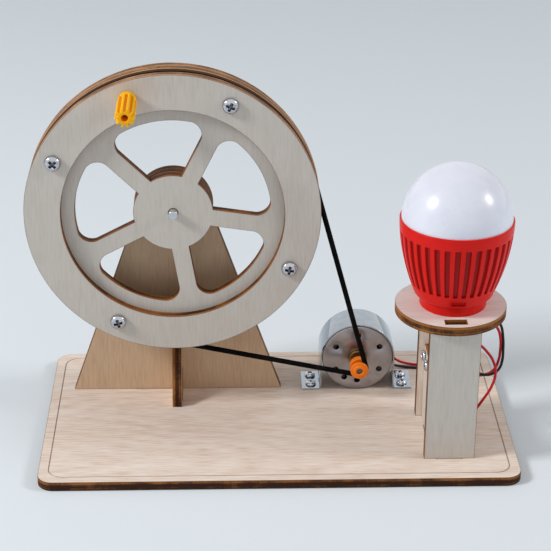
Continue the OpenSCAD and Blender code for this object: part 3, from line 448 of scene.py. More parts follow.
WIRE_D = 0.9 * MM
WIRES = {
    "motor_lead_red": (0.1310, [
        (34.5, 28.9, 9.5), (36.5, 28.9, 9.5), (39, 29.7, 8.7), (41.3, 30.9, 7), (43.3, 31.5, 5.2),
        (46, 31.7, 4), (50, 31.3, 3.5), (56, 31, 3.5), (61, 30, 3.5), (64.5, 27.4, 3.5), (66, 23.5, 3.5),
        (66.3, 18, 3.5), (66.3, 8, 3.5), (66, 0, 3.5), (65.4, -4.5, 3.9), (63.8, -9, 4.6),
        (62, -13, 6.5), (61.6, -16.5, 9.5), (63, -18.6, 13), (65.6, -19, 17.5), (68.2, -19, 22.5),
        (69.2, -19, 27), (68.5, -19, 31), (66.2, -18.8, 34.8), (63, -18, 37.6), (59, -16.4, 38.4),
        (55.4, -14.3, 37), (53, -13, 34), (52.1, -12.7, 31.4), (52.1, -12.7, 28.9)]),
    "motor_lead_black": (0.0888, [
        (34.5, 28.9, 6.6), (36.5, 28.9, 6.6), (39, 29.1, 5.9), (41.5, 29.4, 4.6),
        (44, 29.5, 3.9), (48, 29.2, 3.5), (54, 28.8, 3.5), (58.5, 27.8, 3.5), (61.8, 25.4, 3.5),
        (63.6, 22, 3.5), (64.2, 17, 3.5), (64.2, 8, 3.5), (64, -1, 3.5), (63, -4.5, 3.9),
        (60.5, -7, 4.3), (57, -7.8, 5), (54.2, -7.2, 7), (52.6, -6.2, 10.5), (52.1, -6, 15),
        (52.1, -6, 20), (52.1, -6, 24.9)]),
    "lamp_lead_red": (0.0739, [
        (53.25, -15.55, 69.9), (53.25, -15.55, 52), (53.25, -15.55, 48.6), (53.9, -15.7, 46.9),
        (56, -16.2, 45.9), (60, -16.2, 45.4), (64, -15.9, 45), (67.4, -15.6, 43.9), (69.6, -15.3, 41.4),
        (70.7, -15, 38), (71, -14.6, 33), (70.7, -14, 29), (69.5, -13.6, 25.6), (67, -13.2, 23.8),
        (63.5, -13, 23.4), (60, -12.9, 24.3), (57.6, -12.7, 26.2), (56.3, -12.7, 26.9), (54.4, -12.7, 26.9)]),
    "lamp_lead_black": (0.0768, [
        (54.95, -15.55, 69.9), (54.95, -15.55, 52), (54.95, -15.55, 49), (55.6, -15.3, 47.4),
        (57.6, -14.9, 46.6), (61, -14.4, 46.4), (65, -14.2, 46.1), (68.5, -14.2, 45), (70.6, -14.4, 42.3),
        (71.5, -14.8, 38.5), (71.8, -15.3, 33.5), (71.6, -15.8, 29.9), (70.6, -16.2, 27.2),
        (68.9, -16.3, 25.8), (66, -15.8, 25.1), (63, -14.6, 25.9), (60.5, -11.5, 26.6), (58.6, -8.5, 26.9),
        (57.2, -6.6, 26.9), (56, -6.05, 26.9), (54.4, -6.05, 26.9)]),
}


def make_wire(lead, route):
    """Limp insulated wire: one smooth spline through the route's points, as thick as the wire."""
    name = "wire_" + lead
    curve = bpy.data.curves.new(name, "CURVE")
    curve.dimensions = "3D"
    curve.bevel_depth = WIRE_D / 2
    curve.bevel_resolution = 4
    curve.resolution_u = 8
    curve.use_fill_caps = True
    spline = curve.splines.new("BEZIER")
    spline.bezier_points.add(len(route) - 1)
    spline.bezier_points.foreach_set("co", (np.array(route, float) * MM).ravel())
    for point in spline.bezier_points:
        point.handle_left_type = "AUTO"
        point.handle_right_type = "AUTO"
    curve.materials.append(FINISHES[SLOT_OF[lead]])
    wire = bpy.data.objects.new(name, curve)
    bpy.context.scene.collection.objects.link(wire)
    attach(wire, "stand")
    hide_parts(lead)


for lead, (length, route) in WIRES.items():
    make_wire(lead, route)


# Mesh tools

def cells(rows, columns, wrap_rows=False, wrap_columns=True):
    """Quads of a grid of points that are counted row by row."""
    index = np.arange(rows * columns).reshape(rows, columns)
    if wrap_rows:
        index = np.vstack([index, index[:1]])
    if wrap_columns:
        index = np.hstack([index, index[:, :1]])
    quads = np.stack([index[:-1, :-1], index[:-1, 1:], index[1:, 1:], index[1:, :-1]], -1)
    return quads.reshape(-1, 4).tolist()


def joined(shells):
    """Points and faces of several shells as one."""
    starts = np.cumsum([0] + [len(points) for points, _ in shells])
    points = np.vstack([points for points, _ in shells])
    faces = [[corner + start for corner in face]
             for start, (_, own_faces) in zip(starts, shells) for face in own_faces]
    return points, faces


SHARP = np.radians(40)
WELD = 2e-7


def piece(name, shells, nodes, attributes=None, finish=None, like=None):
    """Closed, smooth piece that stands for CAD nodes: welded, faces outwards, creased where it turns sharply.

    A piece that stands for none takes its body and slot from the node that it is like.
    """
    points, faces = joined(shells)
    mesh = bpy.data.meshes.new(name)
    mesh.from_pydata((points * MM).tolist(), [], faces)
    for key, values in (attributes or {}).items():
        kind, field = ("FLOAT", "value") if values.ndim == 1 else ("FLOAT_VECTOR", "vector")
        mesh.attributes.new(key, kind, "POINT").data.foreach_set(field, values.astype(np.float32).ravel())
    form = bmesh.new()
    form.from_mesh(mesh)
    bmesh.ops.remove_doubles(form, verts=form.verts, dist=WELD)
    bmesh.ops.recalc_face_normals(form, faces=form.faces)
    form.to_mesh(mesh)
    form.free()
    mesh.shade_smooth()
    mesh.set_sharp_from_angle(angle=SHARP)
    model = nodes[0] if nodes else like
    slot = SLOT_OF[model]
    mesh.materials.append(finish or FINISHES[slot])
    made = bpy.data.objects.new(name, mesh)
    bpy.context.scene.collection.objects.link(made)
    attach(made, frame["nodes"][model]["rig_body"])
    if nodes:
        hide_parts(*nodes)


# Directions that a local +Z can be turned to, as the three local axes in the frame
TOWARDS = {
    "up": np.array([[1, 0, 0], [0, 1, 0], [0, 0, 1]]),
    "front": np.array([[1, 0, 0], [0, 0, 1], [0, -1, 0]]),
    "back": np.array([[1, 0, 0], [0, 0, -1], [0, 1, 0]]),
    "left": np.array([[0, 0, 1], [0, 1, 0], [-1, 0, 0]]),
    "right": np.array([[0, 1, 0], [0, 0, 1], [1, 0, 0]]),
}


def set_at(shell, place, towards):
    """Turns a shell's local +Z to a direction and moves its origin to a place."""
    points, faces = shell
    return points @ TOWARDS[towards] + np.asarray(place, float), faces


def smooth_step(low, high, value):
    """0 at low, 1 at high, smooth in between; low may lie above high."""
    t = np.clip((value - low) / (high - low), 0, 1)
    return t * t * (3 - 2 * t)


def repeated_steps(half, count):
    """Angles round a circle of a shape that repeats, and each angle's place in its step, from -1 to 1.

    Half holds the places on one side of a step's middle, from the outside in.
    """
    step = np.array([-1, *[-place for place in half], 0, *reversed(half)])
    angle = np.concatenate([(2 * k + step) * np.pi / count for k in range(count)])
    return angle, np.tile(step, count)


def softened(corners, size, closed=False, steps=4):
    """Line through corners, each rounded by a curve that starts and ends a given distance from it.

    The curve is (1-t)^2 a + 2t(1-t) c + t^2 b, between points a and b on the two sides of the corner c.
    """
    corners = np.asarray(corners, float)
    before = np.roll(corners, 1, 0) - corners
    after = np.roll(corners, -1, 0) - corners
    lengths = [np.linalg.norm(side, axis=1, keepdims=True) for side in (before, after)]
    first = corners + before * np.minimum(size / np.maximum(lengths[0], 1e-9), 0.45)
    last = corners + after * np.minimum(size / np.maximum(lengths[1], 1e-9), 0.45)
    t = np.linspace(0, 1, steps + 1)[None, :, None]
    curve = (1 - t) ** 2 * first[:, None] + 2 * t * (1 - t) * corners[:, None] + t ** 2 * last[:, None]
    if closed:
        return curve.reshape(-1, 2)
    return np.vstack([corners[:1], curve[1:-1].reshape(-1, 2), corners[-1:]])


def turned(profile, columns=72, closed=False):
    """Profile of radius and height turned about +Z: x = r cos a, y = r sin a, z = h."""
    radius, height = np.asarray(profile, float).T
    angle = np.linspace(0, 2 * np.pi, columns, endpoint=False)
    points = np.stack([np.outer(radius, np.cos(angle)), np.outer(radius, np.sin(angle)),
                       np.outer(height, np.ones(columns))], -1)
    return points.reshape(-1, 3), cells(len(radius), columns, wrap_rows=closed)


def swept(path, across, section, closed=False):
    """Section of (across, out) pairs carried along a flat path in X and Z.

    Each point is path + out times the path's left normal, with the across value along Y.
    """
    path = np.asarray(path, float)
    ahead = np.roll(path, -1, 0) - path
    behind = path - np.roll(path, 1, 0)
    if not closed:
        ahead[-1] = behind[-1]
        behind[0] = ahead[0]
    ahead /= np.linalg.norm(ahead, axis=1, keepdims=True)
    behind /= np.linalg.norm(behind, axis=1, keepdims=True)
    along = ahead + behind
    along /= np.linalg.norm(along, axis=1, keepdims=True)
    stretch = 1 / np.maximum(np.sum(along * ahead, axis=1, keepdims=True), 0.5)
    left = np.stack([-along[:, 1], along[:, 0]], 1) * stretch
    section = np.asarray(section, float)
    flat = path[:, None] + left[:, None] * section[None, :, 1:]
    depth = np.broadcast_to(across + section[:, 0], flat.shape[:2])
    points = np.stack([flat[..., 0], depth, flat[..., 1]], -1).reshape(-1, 3)
    count = len(section)
    faces = cells(len(path), count, wrap_rows=closed)
    if not closed:
        faces += [list(range(count)), list(range(len(points) - count, len(points)))]
    return points, faces


# Laser-cut sheets

EDGE_ROUND = 0.12
SCORCH = ((0.75, 0.0), (0.30, 0.10), (EDGE_ROUND, 0.32))
# Painted shade: a wide burn darkens the middle ring's faces beside the belt, as the groove's shadow
GROOVE_PAINTED_SHADE = ((1.9, 0.0), (1.3, 0.8), (EDGE_ROUND, 0.9))
IN_PLANE = {X: [Y, Z], Y: [X, Z], Z: [X, Y]}


def flat_outline(node_name, axis, level):
    """Loops round a node's flat face at one level of an axis, the outer one first.

    An edge is on the outline if only one triangle of the face uses it, and the edges are chained end to end.
    The outer loop runs anticlockwise and the holes clockwise, so that the wood lies on the left.
    """
    mesh = frame["nodes"][node_name].data
    places = np.empty(len(mesh.vertices) * 3, np.float32)
    mesh.vertices.foreach_get("co", places)
    mesh.calc_loop_triangles()
    corners = np.empty(len(mesh.loop_triangles) * 3, np.int32)
    mesh.loop_triangles.foreach_get("vertices", corners)
    places, same = np.unique(places.reshape(-1, 3).astype(float).round(7), axis=0, return_inverse=True)
    corners = same.reshape(-1)[corners].reshape(-1, 3)
    places = places / MM
    face = corners[np.all(np.abs(places[corners][:, :, axis] - level) < 1e-3, axis=1)]
    edges = np.vstack([face[:, [0, 1]], face[:, [1, 2]], face[:, [2, 0]]])
    count = len(places)
    rim = edges[~np.isin(edges @ [count, 1], edges @ [1, count])]
    following = dict(rim.tolist())
    loops = []
    while following:
        start, corner = following.popitem()
        chain = [start]
        while corner != start:
            chain.append(corner)
            corner = following.pop(corner)
        loops.append(places[chain][:, IN_PLANE[axis]])
    loops.sort(key=lambda loop: -abs(signed_area(loop)))
    return [loop if (signed_area(loop) > 0) == (k == 0) else loop[::-1] for k, loop in enumerate(loops)]


def signed_area(loop):
    """Area inside a loop, positive if it runs anticlockwise."""
    ahead = np.roll(loop, -1, 0)
    return np.sum(loop[:, 0] * ahead[:, 1] - ahead[:, 0] * loop[:, 1]) / 2


def inward(loop):
    """Mitred direction into the wood at each point of a loop, one unit from both sides."""
    along = np.roll(loop, -1, 0) - loop
    along /= np.linalg.norm(along, axis=1, keepdims=True)
    left = np.stack([-along[:, 1], along[:, 0]], 1)
    before = np.roll(left, 1, 0)
    return (left + before) / (1 + np.sum(left * before, axis=1, keepdims=True))


def filled(loops, numbers):
    """Triangles between loops, as the numbers of their points.

    A triangle is kept if an odd count of the loops' edges lies to the right of its middle.
    """
    points = np.vstack(loops)
    number = np.concatenate(numbers)
    starts = np.cumsum([0] + [len(loop) for loop in loops])[:-1]
    ends = np.concatenate([start + np.roll(np.arange(len(loop)), -1) for start, loop in zip(starts, loops)])
    edges = np.stack([np.arange(len(points)), ends], 1)
    made = delaunay_2d_cdt([Vector(point) for point in points], edges.tolist(), [], 1, 1e-7)
    origin = np.array([sources[0] for sources in made[3]])
    faces = origin[np.array(made[2])]
    centre = points[faces].mean(axis=1)
    low, high = points[edges[:, 0]], points[edges[:, 1]]
    spans = (low[:, 1] > centre[:, 1:]) != (high[:, 1] > centre[:, 1:])
    rise = np.where(high[:, 1] == low[:, 1], 1.0, high[:, 1] - low[:, 1])
    cross_x = low[:, 0] + (centre[:, 1:] - low[:, 1]) * (high[:, 0] - low[:, 0]) / rise
    inside = np.sum(spans & (cross_x > centre[:, :1]), axis=1) % 2 == 1
    return number[faces[inside]].tolist()


def plate(outlines, engraved=()):
    """Plate between loops, whose edges are shaped by rows of (inset, depth, burn), with both faces filled.

    Each outline is a loop with its rows. Engraved lines are loops with rows too, which lie in the first face.
    """
    points, burns, faces = [], [], []
    front, back = ([], []), ([], [])
    total = 0
    lines = [(loop, np.array(rows, float), False) for loop, rows in outlines]
    lines += [(loop, np.array(rows, float), True) for loop, rows in engraved]
    for loop, rows, is_groove in lines:
        count = len(loop)
        flat = loop + rows[:, None, :1] * inward(loop)
        depth = np.broadcast_to(rows[:, 1:2], flat.shape[:2])
        points.append(np.dstack([flat, depth]).reshape(-1, 3))
        burns.append(np.repeat(rows[:, 2], count))
        faces += [[corner + total for corner in quad] for quad in cells(len(rows), count)]
        first = np.arange(total, total + count)
        last = first + count * (len(rows) - 1)
        for number, line in ((first, flat[0]), (last, flat[-1])):
            side = front if is_groove or number is first else back
            side[0].append(line)
            side[1].append(number)
        total += count * len(rows)
    faces += filled(*front) + filled(*back)
    return np.vstack(points), np.concatenate(burns), faces


def edge_rows(thickness, scorch_and_shade):
    """Rows of a sheet's edge: face darkened by scorch (by painted shade in the belt's groove), small
    rounding, wall, and the same mirrored.
    """
    turn = np.radians([30, 60, 90])
    rounding = [(EDGE_ROUND * (1 - np.sin(a)), EDGE_ROUND * (1 - np.cos(a)), 1.0) for a in turn]
    upper = [(inset, 0.0, burn_and_shade) for inset, burn_and_shade in scorch_and_shade] + rounding
    wall = [(0.0, thickness / 3, 1.0), (0.0, thickness * 2 / 3, 1.0)]
    lower = [(inset, thickness - depth, burn_and_shade) for inset, depth, burn_and_shade in reversed(upper)]
    return upper + wall + lower


def cut_sheet(node_name, axis, front_is_low, grain_axis, shift, engraved=(), finish=None, rim_painted_light=0.0,
              scorch_and_shade=SCORCH):
    """Plywood sheet cut to a node's outline, with attributes for its grain, its burnt edges, painted shade
    and painted rim light.

    The grain vector holds millimetres along the grain, across it and through the sheet, moved by a shift so
    that no two sheets look alike. The outer loop comes first in the plate's points, so that its rim can be
    given painted light.
    """
    low, high = span(node_name, axis)
    loops = flat_outline(node_name, axis, low)
    rows = edge_rows(high - low, scorch_and_shade)
    flat, burn_and_shade, faces = plate([(loop, rows) for loop in loops], engraved)
    # Painted light: the outer rim's wall gets the paler colour of lit wood
    painted_rim_light = np.where(np.arange(len(flat)) < len(rows) * len(loops[0]), rim_painted_light, 0.0)
    points = np.empty_like(flat)
    points[:, IN_PLANE[axis]] = flat[:, :2]
    points[:, axis] = low + flat[:, 2] if front_is_low else high - flat[:, 2]
    across_axis = [k for k in IN_PLANE[axis] if k != grain_axis][0]
    grain = np.stack([points[:, grain_axis] + shift, points[:, across_axis] + 3 * shift, flat[:, 2]], 1)
    attributes = {"grain": grain, "burn_and_shade": burn_and_shade, "painted_rim_light": painted_rim_light}
    piece("cut_" + node_name, [(points, faces)], [node_name], attributes, finish)


ENGRAVED_INSET = 3.2
ENGRAVED_SIDE = ((0.55, 0.0, 0.0), (0.28, 0.0, 0.1), (0.20, 0.0, 0.25), (0.17, 0.03, 0.4), (0.12, 0.2, 0.5))
ENGRAVED_ROWS = (*[(-inset, depth, burn_and_shade) for inset, depth, burn_and_shade in ENGRAVED_SIDE], (0.0, 0.24, 0.52),
                 *reversed(ENGRAVED_SIDE))
BASE_CORNER = 4.8


def rounded_rectangle(half_w, half_d, radius, steps=10):
    """Loop of a rectangle whose corners are quarter circles, anticlockwise from the right."""
    angle = np.linspace(0, np.pi / 2, steps + 1)
    arc = np.stack([np.cos(angle), np.sin(angle)], 1) * radius
    quarter = np.array([[0, -1], [1, 0]])
    turned_arcs = [arc, arc @ -quarter, -arc, arc @ quarter]
    centres = np.array([[1, 1], [-1, 1], [-1, -1], [1, -1]]) * [half_w - radius, half_d - radius]
    return np.vstack([centre + one for centre, one in zip(centres, turned_arcs)])


def make_sheets():
    half_w = span("base_plate", X)[1] - ENGRAVED_INSET
    half_d = span("base_plate", Y)[1] - ENGRAVED_INSET
    border = rounded_rectangle(half_w, half_d, BASE_CORNER)
    cut_sheet("base_plate", Z, False, X, 0.0, [(border, ENGRAVED_ROWS)])
    cut_sheet("lamp_disc", Z, False, X, 31.0, finish=PALE_BIRCH)
    cut_sheet("upright", Y, True, Z, 57.0, finish=WARM_SHADED_BIRCH)
    # The rings' outer walls get painted rim light; the middle ring's faces get painted shade beside the
    # belt's groove
    for k, node_name in enumerate(("front_ring", "middle_ring", "rear_ring")):
        cut_sheet(node_name, Y, True, Z, 83.0 + 41.0 * k, rim_painted_light=0.66,
                  scorch_and_shade=GROOVE_PAINTED_SHADE if node_name == "middle_ring" else SCORCH)
    for k, node_name in enumerate(("spoke_plate", "hub_disc_front", "hub_disc_rear", "post_front_panel")):
        cut_sheet(node_name, Y, True, Z, 214.0 + 41.0 * k)
    cut_sheet("post_rear_panel", Y, True, Z, 391.0, finish=FINISHES["base_plywood"])
    cut_sheet("brace", X, True, Z, 17.0, finish=WARM_SHADED_BIRCH)
    cut_sheet("post_web", X, True, Z, 71.0)


make_sheets()


# Turned pieces of the flywheel

AXLE_R = 1.5
BORE_R = 1.55
BUSH_BODY_R = 2.7
BUSH_FLANGE_T = 1.6
COLLAR_R = 3.5
CRANK_PIN_R = 1.0


def along_y(profile, centre, closed=False):
    """Profile of radius and Y turned about an axis along +Y through a centre."""
    return set_at(turned(profile, closed=closed), (centre[X], 0, centre[Z]), "back")


def turned_piece(name, node_name, corners, rounding, centre, closed=True):
    """Piece turned about an axis along +Y, from a section with rounded corners.

    A solid piece's section starts and ends on the axis and isn't closed.
    """
    piece(name, [along_y(softened(corners, rounding, closed), centre, closed)], [node_name])


def tube(inner, outer, low, high):
    """Corners of a tube's section."""
    return [(inner, low), (outer, low), (outer, high), (inner, high)]


def rod(radius, low, high):
    """Corners of a rod's section, from its axis to its axis."""
    return [(0, low), (radius, low), (radius, high), (0, high)]


def make_axle():
    """Axle with rounded ends, flanged nylon bush, the collar that keeps the axle in, and the knob's pin."""
    turned_piece("turned_axle", "wheel_axle", rod(AXLE_R, *span("wheel_axle", Y)), 0.3, WHEEL, False)
    low, high = span("axle_bush", Y)
    flange_r = half_span("axle_bush", X)
    step = low + BUSH_FLANGE_T
    bush = [(BORE_R, low), (flange_r, low), (flange_r, step), (BUSH_BODY_R, step), (BUSH_BODY_R, high),
            (BORE_R, high)]
    turned_piece("turned_bush", "axle_bush", bush, 0.25, WHEEL)
    turned_piece("turned_collar", "axle_collar", tube(BORE_R, COLLAR_R, *span("axle_collar", Y)), 0.4, WHEEL)
    turned_piece("turned_crank_pin", "crank_pin", rod(CRANK_PIN_R, *span("crank_pin", Y)), 0.2, CRANK, False)


make_axle()


# Screws

def screw(head_d, head_h, shank_d, shank_len, turn, pitch=0.5):
    """Pan-head screw along -Z with a cross recess, its head's seat at z = 0.

    The head is a superellipse, r = R sin(a)^(2/n) and z = H cos(a)^(2/n). The recess lowers it inside two
    crossed arms, deepest in the middle. The shank's radius waves with height less the angle, which makes the
    thread.
    """
    bulge = 2 / 3.0
    rows, columns, shank_rows = 40, 96, 64
    a = np.linspace(0, np.pi / 2, rows) ** 1.15 / (np.pi / 2) ** 0.15
    angle = np.linspace(0, 2 * np.pi, columns, endpoint=False)
    radius = np.outer(head_d / 2 * np.sin(a) ** bulge, np.ones(columns))
    height = np.outer(head_h * np.cos(a).clip(0) ** bulge, np.ones(columns))
    u = np.abs(radius * np.cos(angle + turn))
    v = np.abs(radius * np.sin(angle + turn))
    arm_w, arm_l = head_d * 0.075, head_d * 0.28
    arms = [smooth_step(arm_w * 1.15, arm_w * 0.75, one) * smooth_step(arm_l, arm_l * 0.85, two)
            for one, two in ((u, v), (v, u))]
    mask = np.maximum(*arms)
    deep = head_h * (0.72 - 0.3 * (radius / arm_l).clip(0, 1))
    height = np.maximum(height - mask * deep, head_h * 0.12)
    top = np.stack([radius * np.cos(angle), radius * np.sin(angle), height], -1)
    fall = np.linspace(0, -shank_len, shank_rows)[:, None]
    taper = np.clip((shank_len + fall) / shank_d, 0.35, 1)
    thread = 0.07 * shank_d * np.cos(2 * np.pi * fall / pitch - angle)
    waved = (shank_d / 2 * 0.93 + thread * 0.5) * taper
    shank = np.stack([waved * np.cos(angle), waved * np.sin(angle), fall + 0 * angle], -1)
    tip = np.zeros((1, columns, 3)) + [0, 0, -shank_len]
    points = np.vstack([top, shank, tip])
    # Painted shade darkens the cross recess
    recess = np.concatenate([0.8 * mask.ravel() ** 1.5, np.zeros((shank_rows + 1) * columns)])
    return (points.reshape(-1, 3), cells(len(points), columns)), recess


SPOKE_TURN = 63.5
BOLT_CIRCLE_R = 41.5
STRAP_T = 0.5
EAR_MID = 15.65
EAR_PITCH = 6.1
NUT_CORNER_R = 2.31
TERMINAL_YS = (span("terminal_nuts", Y)[0] + NUT_CORNER_R, span("terminal_nuts", Y)[1] - NUT_CORNER_R)


def screw_set(name, node_name, towards, places, turns, **sizes):
    """Screws of one size at several places, each with its cross turned its own way."""
    made = [screw(turn=turn, **sizes) for turn in turns]
    shells = [set_at(shell, place, towards) for (shell, _), place in zip(made, places)]
    piece(name, shells, [node_name], {"recess": np.concatenate([recess for _, recess in made])})


def make_screws():
    """Four rim screws, four strap screws and two terminal screws."""
    seat = span("front_ring", Y)[0]
    head, tip = span("rim_screws", Y)
    around = np.radians(SPOKE_TURN + 90 * np.arange(4))
    places = [(WHEEL[X] + BOLT_CIRCLE_R * np.cos(a), seat, WHEEL[Z] + BOLT_CIRCLE_R * np.sin(a))
              for a in around]
    screw_set("screws_rim", "rim_screws", "front", places, [0.4 + 0.45 * k for k in range(4)],
              head_d=5.2, head_h=seat - head, shank_d=2.6, shank_len=tip - seat, pitch=0.9)
    seat = BASE_TOP + STRAP_T
    tip, head = span("strap_screws", Z)
    middle_y = middle("strap_screws")[Y]
    places = [(MOTOR[X] + side * EAR_MID, middle_y + row * EAR_PITCH / 2, seat)
              for side in (-1, 1) for row in (-1, 1)]
    screw_set("screws_strap", "strap_screws", "up", places, [0.7 * k for k in range(4)],
              head_d=3.6, head_h=head - seat, shank_d=1.6, shank_len=seat - tip, pitch=0.6)
    seat = span("post_web", X)[0]
    head, tip = span("terminal_screws", X)
    places = [(seat, place_y, middle("terminal_screws")[Z]) for place_y in TERMINAL_YS]
    screw_set("screws_terminal", "terminal_screws", "left", places, [0.3, 0.8],
              head_d=3.8, head_h=seat - head, shank_d=2.0, shank_len=tip - seat, pitch=0.4)


make_screws()


# Crank knob

TOOTH_COUNT = 10
TOOTH_ROOT_R = 2.1
TOOTH_TIP_R = 3.1
TOOTH_STEPS = (0.72, 0.55, 0.46, 0.38, 0.30, 0.16)
KNOB_BORE_R = 1.05
KNOB_COLLAR_R = 2.8
KNOB_COLLAR_L = 2.2


def make_knob():
    """Length of toothed bar with a bore: each row has a Y, a radius, and a share of the toothed outline.

    A tooth's outline over its step is flat at the root, rises smoothly on both flanks and is flat at the tip.
    """
    angle, step = repeated_steps(TOOTH_STEPS, TOOTH_COUNT)
    rise = smooth_step(0.56, 0.28, np.abs(step))
    toothed = TOOTH_ROOT_R + (TOOTH_TIP_R - TOOTH_ROOT_R) * rise
    low, high = span("crank_knob", Y)
    neck = high - KNOB_COLLAR_L
    bore = [(high - 0.4, KNOB_BORE_R, 0), (low + 0.25, KNOB_BORE_R, 0), (low + 0.05, KNOB_BORE_R + 0.12, 0)]
    face = [(low, KNOB_BORE_R + 0.3, 0), (low, 1.75, 0), (low + 0.04, 1.85, 0.8), (low + 0.14, 1.95, 0.93)]
    teeth = [(place, TOOTH_ROOT_R, 1) for place in (low + 0.35, low + 5, low + 10, neck - 0.45)]
    rounding = [(neck - 0.15, 2.3, 0.85), (neck, 2.55, 0.2), (neck + 0.15, 2.75, 0)]
    collar = [(neck + 0.4, KNOB_COLLAR_R, 0), (high - 0.3, KNOB_COLLAR_R, 0), (high - 0.08, 2.72, 0),
              (high, 2.5, 0), (high, 1.5, 0), (high - 0.1, 1.15, 0)]
    rows = bore + face + teeth + rounding + collar
    place, radius, share = np.array(rows).T[:, :, None]
    reach = radius * (1 - share) + toothed * share
    points = np.stack([reach * np.cos(angle), reach * np.sin(angle), place + 0 * angle], -1).reshape(-1, 3)
    # Painted shade: darker between the teeth and inside the bore
    root = np.outer(share[:, 0], 1 - rise) * 0.15
    root[:len(bore)] = 0.45
    faces = cells(len(rows), len(angle), wrap_rows=True)
    knob = set_at((points, faces), (CRANK[X], 0, CRANK[Z]), "back")
    piece("toothed_knob", [knob], ["crank_knob"], {"recess": root.ravel()})


make_knob()


# Motor

CAN_EDGE = 0.6
CAN_WALL = 0.7
CAN_BEVEL = 0.08
SHAFT_R = 1.0
SHAFT_BORE_R = 1.05
BEARING_R = 3.0
CAP_R = 12.0
CAP_T = 1.2


def make_motor():
    """Pressed can with a rounded rim and open holes in its face, bearing, rear cap and shaft."""
    low, high = span("motor_can", Y)
    length = high - low
    inside = CAN_WALL - CAN_EDGE
    turn = np.radians([0, 22, 45, 68, 90])
    rim = [(-CAN_EDGE * np.sin(a), CAN_EDGE * (1 - np.cos(a)), 0) for a in turn]
    rim += [(-CAN_EDGE, length / 2, 0), (-CAN_EDGE, length - CAN_BEVEL, 0)]
    rim += [(-CAN_EDGE + CAN_BEVEL, length, 0), (inside, length, 0), (inside, CAN_WALL, 0)]
    hole = [(0.1, 0, 0), (0.03, 0.03, 0), (0, 0.1, 0), (0, CAN_WALL, 0)]
    outer, *holes = flat_outline("motor_can", Y, low)
    flat, _, faces = plate([(outer, rim)] + [(loop, hole) for loop in holes])
    points = np.stack([flat[:, 0], low + flat[:, 2], flat[:, 1]], 1)
    piece("pressed_can", [(points, faces)], ["motor_can"])
    bearing = tube(SHAFT_BORE_R, BEARING_R, *span("motor_bearing", Y))
    turned_piece("turned_bearing", "motor_bearing", bearing, 0.25, MOTOR)
    low, high = span("motor_end_cap", Y)
    floor = low + CAP_T
    cap = [(0, high), (BEARING_R, high), (BEARING_R, floor), (CAP_R, floor), (CAP_R, low),
           (SHAFT_BORE_R, low), (SHAFT_BORE_R, floor), (0, floor)]
    turned_piece("moulded_cap", "motor_end_cap", cap, 0.3, MOTOR, False)
    low, high = span("motor_shaft", Y)
    shaft = along_y(softened(rod(SHAFT_R, low, high), 0.2), MOTOR)
    # Painted shade: the shaft's front end darkens, deep in the pulley's bore
    shade = smooth_step(low + 0.6, low + 0.2, shaft[0][:, Y]) * 0.8
    piece("turned_shaft", [shaft], ["motor_shaft"], {"recess": shade})


make_motor()


PULLEY_BOSS_R = 1.9
PULLEY_FLANGE_R = 3.0
PULLEY_GROOVE_R = 1.4


def make_pulley():
    """Moulded pulley with a front boss, two flanges and a rounded groove for the belt."""
    low, high = span("pulley", Y)
    boss, front, back = low + 0.5, low + 1.3, low + 3.2
    corners = [(SHAFT_BORE_R, low), (PULLEY_BOSS_R, low), (PULLEY_BOSS_R, boss), (PULLEY_FLANGE_R, boss),
               (PULLEY_FLANGE_R, front), (PULLEY_GROOVE_R, front), (PULLEY_GROOVE_R, back),
               (PULLEY_FLANGE_R, back), (PULLEY_FLANGE_R, high), (SHAFT_BORE_R, high)]
    turned_piece("moulded_pulley", "pulley", corners, 0.22, MOTOR)


make_pulley()


# Belt

BELT_R = 0.85
BELT_ON_WHEEL_R = 46.15
BELT_ON_PULLEY_R = 2.35


def make_belt():
    """Round belt: a circle carried along the loop of two arcs and the two straight runs that touch both."""
    start = np.array([WHEEL[X], WHEEL[Z]])
    end = np.array([MOTOR[X], MOTOR[Z]])
    reach = end - start
    line = np.arctan2(reach[1], reach[0])
    lean = np.arcsin((BELT_ON_WHEEL_R - BELT_ON_PULLEY_R) / np.linalg.norm(reach))
    wide = np.linspace(line + np.pi / 2 - lean, line + 3 * np.pi / 2 + lean, 220)
    tight = np.linspace(line - np.pi / 2 + lean, line + np.pi / 2 - lean, 40)
    on_wheel = start + BELT_ON_WHEEL_R * np.stack([np.cos(wide), np.sin(wide)], 1)
    on_pulley = end + BELT_ON_PULLEY_R * np.stack([np.cos(tight), np.sin(tight)], 1)
    t = np.linspace(0, 1, 40)[1:-1, None]
    lower = on_wheel[-1] + t * (on_pulley[0] - on_wheel[-1])
    upper = on_pulley[-1] + t * (on_wheel[0] - on_pulley[-1])
    path = np.vstack([on_wheel, lower, on_pulley, upper])
    angle = np.linspace(0, 2 * np.pi, 20, endpoint=False)
    circle = np.stack([BELT_R * np.cos(angle), BELT_R * np.sin(angle)], 1)
    piece("round_belt", [swept(path, middle("drive_belt")[Y], circle, closed=True)], ["drive_belt"])


make_belt()


# Strap

EAR_HALF = 3.1
STRAP_BEND = 0.9
STRAP_ROUND = 0.12


